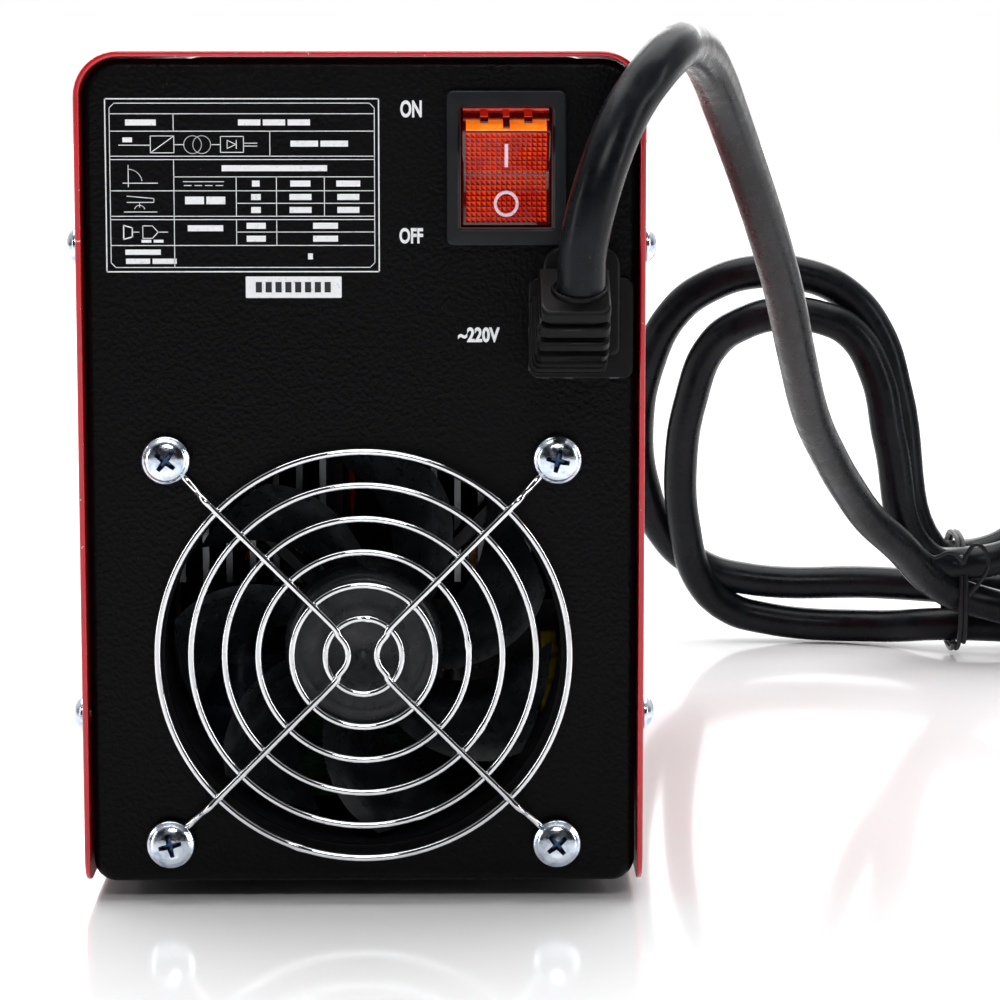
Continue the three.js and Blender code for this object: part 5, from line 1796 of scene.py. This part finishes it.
class WELDER_OT_cable_boot(WelderOperator):
    """Mould the angled cable boot with its ribs, hood and base plate, and its nut inside"""

    bl_idname = "welder.cable_boot"
    bl_label = "Cable boot"

    def build(self):
        low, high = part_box("strain_relief")
        self.pivot_y = REAR_Y - 4.5 * MM
        self.pivot_z = 135.0 * MM
        bm = bmesh.new()
        self.elbow(bm)
        plate = lambda inset: rounded_outline(
            (46.1 * MM, 123.3 * MM), (11.1 * MM, 10.7 * MM), (2.2 * MM, 2.2 * MM), inset, 5
        )
        layered(bm, [(plate, rounded_steps(1.6 * MM, 0.5 * MM))], facing_rear(REAR_Y - 1.9 * MM))
        hood = lambda inset: rounded_outline(
            (46.1 * MM, 129.0 * MM), (8.1 * MM, 11.5 * MM), (2.0 * MM, 4.0 * MM), inset, 7
        )
        layered(bm, [(hood, rounded_steps(4.3 * MM, 0.9 * MM))], facing_rear(REAR_Y - 4.8 * MM))
        neck = [(0, 0), (6, 0), (6, 8.8), (5.4, 9.4), (0, 9.4)]
        neck_root = Vector((44.5 * MM, REAR_Y - 1.0 * MM, 122 * MM))
        turned(bm, [(r * MM, d * MM) for r, d in neck], neck_root, (0, 1, 0), 32)
        boot = make_piece("angled_boot", bm, ["boot_rubber"], "case", ["strain_relief"], 38.0)
        hold_normals(boot)
        self.gland_nut()

    def elbow(self, bm):
        """The ribbed elbow, from straight down round to the slanted face that the cord leaves by."""
        inner, outer = 4.6, 21.0
        end, last_rib, ribs = 73.0, 64.0, 6
        pitch = last_rib / ribs
        stations = [(-4.0, 0.0)]
        for rib in range(ribs):
            for share, swell in (
                (0.00, 0.0), (0.06, 0.35), (0.11, 0.8), (0.18, 1.0), (0.58, 1.0),
                (0.66, 0.8), (0.72, 0.35), (0.78, 0.0),
            ):
                stations.append(((rib + share) * pitch, swell))
        stations += [(last_rib, 0.0), (last_rib + 0.6, 0.8), (last_rib + 1.3, 1.0), (end - 4.0, 1.0)]
        stations += [(end - 2.6, 0.93), (end - 1.7, 0.75), (end - 1.4, 0.45)]
        rows = []
        for degrees, swell in stations:
            share = max(0.0, degrees) / end
            reach = outer - 1.5 * (1 - swell)
            half_width = (8.1 - 0.9 * share) - 1.2 * (1 - swell)
            middle_x = 43.1 + 1.2 * share
            lean = 34.0 * eased((degrees - 40.0) / (end - 40.0))
            outline = rounded_outline(
                (0.0, (inner + reach) / 2), (half_width, (reach - inner) / 2), (1.7, 1.7), 0.0, 4
            )
            row = []
            for across, radial in outline:
                near = (reach - radial) / (reach - inner)
                angle = math.radians(degrees + lean * near)
                row.append(
                    bm.verts.new(
                        (
                            (middle_x + across) * MM,
                            self.pivot_y - radial * math.sin(angle) * MM,
                            self.pivot_z - radial * math.cos(angle) * MM,
                        )
                    )
                )
            rows.append(row)
        for lower, upper in zip(rows, rows[1:]):
            skin_between(bm, lower, upper)
        bm.faces.new(rows[0])
        bm.faces.new(rows[-1])
        collar = [(5.9, -2.4), (5.9, -0.2), (5.7, 0.2), (5.4, 0.3), (5.05, 0.0), (5.05, -2.4)]
        direction = Vector((0.0, -0.36, 0.93)).normalized()
        exit_point = Vector(LEAD_ROUTE[0]) + Vector((-0.3, 0.3, -0.6)) * MM
        turned(bm, [(r * MM, d * MM) for r, d in collar + collar[:1]], exit_point, direction, 40)

    def gland_nut(self):
        """The hexagonal nut on the boot's neck inside the case."""
        low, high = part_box("strain_relief_nut")
        centre = ((low.x + high.x) / 2, (low.z + high.z) / 2)
        hexagon = lambda inset: round_outline(centre, 10 * MM, inset, 6)
        bore = lambda inset: round_outline(centre, 6.4 * MM, inset, 48)
        depth = high.y - low.y
        rims = [(hexagon, rounded_steps(depth, 0.4 * MM)), (bore, hole_steps(depth, 0.3 * MM))]
        bm = bmesh.new()
        layered(bm, rims, facing_rear(low.y))
        nut = make_piece("gland_nut", bm, ["black_plastic"], "case", ["strain_relief_nut"])
        hold_normals(nut)


# ---- feet and front controls ----------------------------------------------------------------------


class WELDER_OT_feet(WelderOperator):
    """Turn the four rubber feet with their screw wells"""

    bl_idname = "welder.feet"
    bl_label = "Feet"

    def build(self):
        profile = [(0, 2.6), (2.6, 2.6), (2.8, 2.4), (2.8, 0.5), (3.3, 0.0), (7.2, 0.0), (7.8, 0.3)]
        profile += [(8.1, 0.9), (8.9, 5.0), (8.8, 5.4), (8.4, 5.5), (0, 5.5)]
        for number in range(1, 5):
            node = f"foot_{number}"
            low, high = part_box(node)
            origin = Vector(((low.x + high.x) / 2, (low.y + high.y) / 2, low.z))
            bm = bmesh.new()
            turned(bm, [(r * MM, d * MM) for r, d in profile], origin, (0, 0, 1), 48)
            make_piece(f"rubber_foot_{number}", bm, ["foot_rubber"], "case", [node])


class WELDER_OT_controls(WelderOperator):
    """Make the current knob with its dial, the display, the lamps and the output sockets"""

    bl_idname = "welder.controls"
    bl_label = "Front controls"

    def build(self):
        self.knob()
        self.dial()
        self.display()
        self.lamps()
        for name in ("negative", "positive"):
            self.socket(name)
        refinish("potentiometer", "aluminium")
        refinish("knob_shaft", "steel")

    def knob(self):
        """A fluted knob with a skirt, a domed cap and a white pointer line."""
        low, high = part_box("current_knob")
        origin = Vector((KNOB_CENTRE.x, low.y, KNOB_CENTRE.z))
        stations = [(0.0, 14.6, 0), (0.2, 15.0, 0), (1.6, 15.0, 0), (2.2, 14.6, 0), (2.8, 13.6, 0.0)]
        stations += [(3.2, 13.4, 0.5), (3.8, 13.4, 0.7), (11.6, 12.6, 0.7), (12.6, 12.4, 0.5)]
        stations += [(13.4, 11.9, 0.15), (14.0, 11.2, 0.0), (14.3, 10.2, 0.0), (14.1, 9.0, 0.0), (13.9, 5.0, 0.0)]
        sides = 120
        bm = bmesh.new()
        rows = []
        for distance, radius, flute in stations:
            row = []
            for side in range(sides):
                angle = TAU * side / sides
                groove = flute * max(0.0, math.cos(20 * angle)) ** 2
                reach = (radius - groove) * MM
                row.append(
                    bm.verts.new(
                        origin + Vector((reach * math.cos(angle), distance * MM, reach * math.sin(angle)))
                    )
                )
            rows.append(row)
        for lower, upper in zip(rows, rows[1:]):
            skin_between(bm, lower, upper)
        bm.faces.new(rows[0])
        bm.faces.new(rows[-1])
        face = facing_front(origin.y + 14.0 * MM)
        outline = lambda inset: rounded_outline(
            (0.0, KNOB_CENTRE.z + 7.0 * MM), (0.7 * MM, 4.4 * MM), (0.3 * MM, 0.3 * MM), inset, 3
        )
        steps = [(0.1 * MM, -0.42 * MM), (0.0, -0.32 * MM), (0.0, 0.3 * MM)]
        layered(bm, [(outline, steps)], face, 1)
        make_piece(
            "dial_knob", bm, ["black_plastic", "white_ink"], "knob", ["current_knob"]
        )

    def dial(self):
        """A printed scale round the knob: ticks from 20 to 200, and the signs over the sockets."""
        place = facing_front(FRONT_Y)
        flip = lambda across, up, depth: place(-across, up, depth)
        bm = bmesh.new()
        steps = 18
        for step in range(steps + 1):
            angle = math.radians(230 - 280 * step / steps)
            outward = Vector((math.cos(angle), math.sin(angle)))
            centre = Vector((-KNOB_CENTRE.x, KNOB_CENTRE.z))
            long = step % 2 == 0
            ends = [centre + outward * reach * MM for reach in (16.2, 18.6 if long else 17.6)]
            printed_line(bm, flip, ends, 0.4 * MM if long else 0.25 * MM)
            if long:
                value = 20 + 10 * step
                spot = centre + outward * 21.4 * MM
                lettering(bm, str(value), spot, 2.0 * MM, flip, 0.85, 0.01)
        for node, sign in (("socket_negative_housing", "-"), ("socket_positive_housing", "+")):
            spot = middle(node)
            x, z = -spot.x, spot.z + 23 * MM
            flat_print(bm, flip, (x - 2.4 * MM, x + 2.4 * MM), (z - 0.45 * MM, z + 0.45 * MM))
            if sign == "+":
                flat_print(bm, flip, (x - 0.45 * MM, x + 0.45 * MM), (z - 2.4 * MM, z + 2.4 * MM))
        make_piece("front_scale", bm, ["white_ink"], "case")

    def display(self):
        """The smoked window over three seven-segment digits."""
        low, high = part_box("display_window")
        centre = ((low.x + high.x) / 2, (low.z + high.z) / 2)
        half = ((high.x - low.x) / 2, (high.z - low.z) / 2)
        outline = lambda inset: rounded_outline(centre, half, (1 * MM, 1 * MM), inset, 4)
        bm = bmesh.new()
        layered(bm, [(outline, rounded_steps(high.y - low.y, 0.4 * MM))], facing_front(high.y))
        window = make_piece(
            "smoked_window", bm, ["smoked_lens"], "case", ["display_window"]
        )
        hold_normals(window)
        place = facing_front(high.y)
        bm = bmesh.new()
        segments = {
            "top": (0, 5.6, 2.2, 0.45), "middle": (0, 0, 2.2, 0.45), "bottom": (0, -5.6, 2.2, 0.45),
            "left_high": (-2.8, 2.8, 0.45, 2.2), "right_high": (2.8, 2.8, 0.45, 2.2),
            "left_low": (-2.8, -2.8, 0.45, 2.2), "right_low": (2.8, -2.8, 0.45, 2.2),
        }
        shapes = {
            1: {"right_high", "right_low"},
            2: {"top", "right_high", "middle", "left_low", "bottom"},
            0: {"top", "bottom", "left_high", "left_low", "right_high", "right_low"},
        }
        for position, digit in enumerate((1, 2, 0)):
            middle_x = (11.0 - position * 11.0) * MM
            for name, (x, z, half_x, half_z) in segments.items():
                across = (middle_x - (x + half_x) * MM, middle_x - (x - half_x) * MM)
                up = (centre[1] + (z - half_z) * MM, centre[1] + (z + half_z) * MM)
                flat_print(bm, place, across, up, 0 if name in shapes[digit] else 1, 0.04 * MM)
        make_piece("display_digits", bm, ["lit_segments", "dark_segments"], "case")

    def lamps(self):
        for node, key in (("led_power", "green_lens"), ("led_fault", "amber_lens")):
            low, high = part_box(node)
            origin = Vector(((low.x + high.x) / 2, low.y, (low.z + high.z) / 2))
            bm = bmesh.new()
            profile = [(0, 0), (2.9, 0), (2.9, 1.0), (2.5, 1.0), (2.5, 10.5)]
            for step in range(1, 8):
                angle = step / 8 * math.pi / 2
                profile.append((2.5 * math.cos(angle), 10.5 + 2.5 * math.sin(angle)))
            profile.append((0, 13.0))
            turned(bm, [(r * MM, d * MM) for r, d in profile], origin, (0, 1, 0), 36)
            make_piece(node.replace("led", "lamp"), bm, [key], "case", [node])

    def socket(self, name):
        """A twist-lock output socket: a knurled collar round a keyed brass bore."""
        low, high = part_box(f"socket_{name}_housing")
        centre = Vector(((low.x + high.x) / 2, 0.0, (low.z + high.z) / 2))
        reach = high.y - FRONT_Y
        stations = [(0.3, 17.0, 0), (0.3, 17.0, 0.0), (4.2, 17.0, 0.0), (5.0, 16.6, 0.0), (5.5, 15.8, 0.0)]
        stations += [(6.4, 15.2, 0.0), (6.9, 15.0, 0.45), (18.6, 14.3, 0.45), (19.4, 14.2, 0.2)]
        stations += [(reach / MM - 0.6, 14.0, 0.0), (reach / MM, 13.4, 0.0), (reach / MM, 9.2, 0.0)]
        stations += [(reach / MM - 0.8, 8.4, 0.0), (-13.0, 8.4, 0.0), (-14.0, 8.8, 0), (-14.0, 11.6, 0)]
        stations += [(-13.4, 12.0, 0), (0.3, 12.0, 0), (0.3, 17.0, 0)]
        sides = 96
        bm = bmesh.new()
        rows = []
        for distance, radius, flute in stations[1:]:
            row = []
            for side in range(sides):
                angle = TAU * side / sides
                groove = flute * (0.5 + 0.5 * math.cos(24 * angle))
                across = (radius - groove) * MM
                row.append(
                    bm.verts.new(
                        (
                            centre.x + across * math.cos(angle),
                            FRONT_Y + distance * MM,
                            centre.z + across * math.sin(angle),
                        )
                    )
                )
            rows.append(row)
        for lower, upper in zip(rows, rows[1:]):
            skin_between(bm, lower, upper)
        bmesh.ops.remove_doubles(bm, verts=bm.verts, dist=1e-6)
        make_piece(
            f"{name}_socket_collar", bm, ["black_plastic"], "case", [f"socket_{name}_housing"]
        )
        node = f"socket_{name}_insert"
        low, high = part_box(node)
        start = Vector((centre.x, low.y, centre.z))
        depth = (high.y - low.y) / MM
        profile = [(0, 0), (7.6, 0), (8.0, 0.4), (8.0, depth - 0.5), (7.6, depth), (5.2, depth)]
        profile += [(4.6, depth - 0.6), (4.6, 11.0), (4.2, 10.4), (0, 10.0)]
        bm = bmesh.new()
        turned(bm, [(r * MM, d * MM) for r, d in profile], start, (0, 1, 0), 48)
        make_piece(f"{name}_socket_insert", bm, ["brass"], "case", [node])


# ---- electronics ----------------------------------------------------------------------------------


class WELDER_OT_electronics(WelderOperator):
    """Finish the parts inside the case and dress the heatsinks, capacitors, choke and boards"""

    bl_idname = "welder.electronics"
    bl_label = "Electronics"

    def build(self):
        for node in ("busbar_negative", "busbar_positive"):
            refinish(node, "copper")
        for number in range(1, 5):
            refinish(f"board_standoff_{number}", "brass")
        for node in ("power_board", "control_board"):
            refinish(node, "circuit_board")
        refinish("transformer_core", "ferrite")
        refinish("bridge_rectifier", "black_plastic")
        for side in ("left", "right"):
            refinish(f"heatsink_{side}", "aluminium")
        self.winding()
        self.capacitors()
        self.choke()
        self.fan_wire()

    def winding(self):
        """Taped coil of the transformer with slightly bulging sides."""
        low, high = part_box("transformer_winding")
        core_low, core_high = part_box("transformer_core")
        centre = (low + high) / 2
        half = (high - low) / 2
        post = (6.3 * MM, 8.3 * MM)
        bm = bmesh.new()
        place = lambda across, up, depth: Vector((across, up, low.z + depth))
        height = high.z - low.z
        outer = lambda inset: rounded_outline((centre.x, centre.y), (half.x, half.y), (4 * MM, 4 * MM), inset, 8)
        steps = []
        for step in range(13):
            share = step / 12
            bulge = 0.9 * MM * (1 - math.sin(share * math.pi)) ** 2 + 0.15 * MM * (step % 2)
            steps.append((bulge, height * share))
        inner = lambda inset: rounded_outline((centre.x, centre.y), post, (0.5 * MM, 0.5 * MM), inset, 3)
        layered(bm, [(outer, steps), (inner, [(0.0, 0.0), (0.0, height)])], place)
        make_piece("taped_coil", bm, ["yellow_tape"], "case", ["transformer_winding"])

    def capacitors(self):
        """Sleeved cans with a crimped groove and a slightly sunk bare aluminium top."""
        for number in (1, 2):
            node = f"capacitor_{number}"
            low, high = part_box(node)
            radius = (high.x - low.x) / 2 / MM
            tall = (high.z - low.z) / MM
            origin = Vector(((low.x + high.x) / 2, (low.y + high.y) / 2, low.z))
            profile = [(0, 0), (radius - 1.0, 0), (radius - 0.2, 0.5), (radius, 1.2), (radius, 3.4)]
            profile += [(radius - 0.9, 4.3), (radius - 0.9, 4.9), (radius, 5.8), (radius, tall - 1.4)]
            profile += [(radius - 0.4, tall - 0.4), (radius - 1.2, tall), (radius - 2.2, tall)]
            profile += [(radius - 2.6, tall - 0.5), (0, tall - 0.5)]
            bm = bmesh.new()
            turned(bm, [(r * MM, d * MM) for r, d in profile], origin, (0, 0, 1), 48)
            top = origin.z + (tall - 0.6) * MM
            for face in bm.faces:
                middle_point = face.calc_center_median()
                flat = (middle_point - origin).to_2d().length < (radius - 2.3) * MM
                if flat and middle_point.z > top:
                    face.material_index = 1
            keys = ["capacitor_sleeve", "aluminium"]
            make_piece(f"sleeved_can_{number}", bm, keys, "case", [node])

    def choke(self):
        """A toroid wound with thick enamelled wire."""
        low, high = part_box("output_choke")
        centre = (low + high) / 2
        reach = (high.x - low.x) / 2
        half_height = (high.z - low.z) / 2
        bm = bmesh.new()
        core = []
        for step in range(17):
            angle = TAU * step / 16
            core.append(
                (
                    16 * MM + 4.4 * MM * math.cos(angle),
                    7.6 * MM * math.sin(angle),
                )
            )
        core[-1] = core[0]
        turned(bm, core, centre, (0, 0, 1), 64, 1)
        turns = 30
        for turn in range(turns):
            around = TAU * turn / turns
            outward = Vector((math.cos(around), math.sin(around), 0))
            points = []
            for step in range(20):
                angle = TAU * step / 20
                across = 16 * MM + (reach - 17.1 * MM) * math.cos(angle)
                points.append(
                    centre + outward * across + Vector((0, 0, (half_height - 1.1 * MM) * math.sin(angle)))
                )
            wire(bm, points, 1.0 * MM, 8, closed=True)
        make_piece("wound_choke", bm, ["wound_copper", "ferrite"], "case", ["output_choke"])

    def fan_wire(self):
        """The fan's twisted red and black wires, up over the heatsinks and down to the board."""
        low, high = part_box("fan_lead")
        route = smooth_route(
            [
                (0.0070, FAN_HIGH.y + 1.8 * MM, FAN_CENTRE.z + 14 * MM),
                (0.0065, FAN_HIGH.y + 2.4 * MM, 0.086),
                (0.0055, FAN_HIGH.y + 3.0 * MM, 0.098),
                (0.0020, -0.078, 0.108),
                (-0.0040, -0.066, 0.106),
                (-0.0045, -0.062, 0.092),
                (-0.0045, -0.060, 0.060),
                (-0.0045, -0.060, 0.030),
                (-0.0045, -0.060, low.z),
            ],
            14,
        )
        bm = bmesh.new()
        for strand in range(2):
            points = []
            for step, centre in enumerate(route):
                angle = step * 0.42 + strand * math.pi
                points.append(centre + Vector((math.cos(angle), math.sin(angle), 0.0)) * 0.62 * MM)
            wire(bm, points, 0.62 * MM, 8, material=strand)
        make_piece("fan_wires", bm, ["red_wire", "black_plastic"], "case", ["fan_lead"])


# ---- stage ----------------------------------------------------------------------------------------


class WELDER_OT_stage(WelderOperator):
    """Lay the pale floor and set the soft studio light"""

    bl_idname = "welder.stage"
    bl_label = "Stage"

    def build(self):
        bm = bmesh.new()
        bmesh.ops.create_grid(bm, x_segments=24, y_segments=24, size=6.0)
        mesh = bpy.data.meshes.new("studio_floor")
        bm.to_mesh(mesh)
        bm.free()
        mesh.materials.append(finish_of("floor"))
        floor = bpy.data.objects.new("studio_floor", mesh)
        bpy.context.scene.collection.objects.link(floor)
        floor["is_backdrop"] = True
        self.surroundings()
        self.softbox("overhead_softbox", (0.0, 0.20, 1.30), (0.0, 0.0, 0.0), (1.5, 1.2), 22.0)
        self.softbox("front_softbox", (0.05, -1.30, 1.05), (0.0, -0.1, 0.10), (0.6, 0.22), 6.0)
        self.softbox("left_strip", (-1.1, -0.45, 0.35), (0.0, 0.0, 0.08), (0.14, 0.7), 2.5)
        self.softbox("right_strip", (1.15, -0.40, 0.40), (0.05, 0.0, 0.08), (0.14, 0.7), 3.0)
        self.softbox("rear_fill", (0.2, 1.3, 0.70), (0.0, 0.1, 0.08), (1.2, 0.8), 10.0)
        bpy.context.scene.view_settings.view_transform = "Standard"

    def surroundings(self):
        """White all round to the eye; as light, bright above and beyond and dim on the panel's side."""
        world = bpy.data.worlds.new("studio_surroundings")
        bpy.context.scene.world = world
        world.use_nodes = True
        tree = world.node_tree
        background = tree.nodes["Background"]
        place = tree.nodes.new("ShaderNodeTexCoord")
        weigh = tree.nodes.new("ShaderNodeVectorMath")
        weigh.operation = "DOT_PRODUCT"
        weigh.inputs[1].default_value = (0.0, 0.70, 0.60)
        tree.links.new(place.outputs["Generated"], weigh.inputs[0])
        fade = tree.nodes.new("ShaderNodeMapRange")
        fade.interpolation_type = "SMOOTHSTEP"
        fade.inputs["From Min"].default_value = -0.1
        fade.inputs["From Max"].default_value = 0.85
        fade.inputs["To Min"].default_value = 0.015
        fade.inputs["To Max"].default_value = 1.0
        tree.links.new(weigh.outputs["Value"], fade.inputs["Value"])
        sight = tree.nodes.new("ShaderNodeLightPath")
        choose = tree.nodes.new("ShaderNodeMix")
        choose.data_type = "FLOAT"
        choose.inputs[3].default_value = 1.0
        tree.links.new(sight.outputs["Is Camera Ray"], choose.inputs[0])
        tree.links.new(fade.outputs["Result"], choose.inputs[2])
        tree.links.new(choose.outputs[0], background.inputs["Strength"])
        background.inputs["Color"].default_value = (1.0, 1.0, 1.0, 1.0)

    def softbox(self, name, place, aim, size, power):
        data = bpy.data.lights.new(name, "AREA")
        data.shape = "RECTANGLE"
        data.size, data.size_y = size
        data.energy = power
        light = bpy.data.objects.new(name, data)
        light.location = place
        direction = Vector(aim) - Vector(place)
        light.rotation_euler = direction.to_track_quat("-Z", "Y").to_euler()
        bpy.context.scene.collection.objects.link(light)


# ---- panel and registration -----------------------------------------------------------------------

OPERATORS = (
    WELDER_OT_camera,
    WELDER_OT_cord,
    WELDER_OT_cover,
    WELDER_OT_panels,
    WELDER_OT_rear_print,
    WELDER_OT_screws,
    WELDER_OT_fan,
    WELDER_OT_power_switch,
    WELDER_OT_cable_boot,
    WELDER_OT_feet,
    WELDER_OT_controls,
    WELDER_OT_electronics,
    WELDER_OT_stage,
)


class WELDER_PT_sidebar(bpy.types.Panel):
    """Lists the operators, sizes and colours"""

    bl_idname = "WELDER_PT_sidebar"
    bl_label = "Stick Welder"
    bl_space_type = "VIEW_3D"
    bl_region_type = "UI"
    bl_category = "Stick Welder"

    def draw(self, context):
        layout = self.layout
        for operator in OPERATORS:
            layout.operator(operator.bl_idname)
        for group in (context.scene.welder_sizes, context.scene.welder_colours):
            box = layout.box()
            for name in group.__annotations__:
                box.prop(group, name)


CLASSES = (WelderSizes, WelderColours, *OPERATORS, WELDER_PT_sidebar)


def register():
    for cls in CLASSES:
        bpy.utils.register_class(cls)
    bpy.types.Scene.welder_sizes = bpy.props.PointerProperty(type=WelderSizes)
    bpy.types.Scene.welder_colours = bpy.props.PointerProperty(type=WelderColours)


def unregister():
    del bpy.types.Scene.welder_colours
    del bpy.types.Scene.welder_sizes
    for cls in reversed(CLASSES):
        bpy.utils.unregister_class(cls)


def main():
    register()
    for operator in OPERATORS:
        group, name = operator.bl_idname.split(".")
        getattr(getattr(bpy.ops, group), name)()
    as_lists = lambda corners: [list(corner) for corner in corners]
    {"cad": as_lists(CAD_BOX), "visual": as_lists(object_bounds())}


if __name__ == "__main__":
    main()
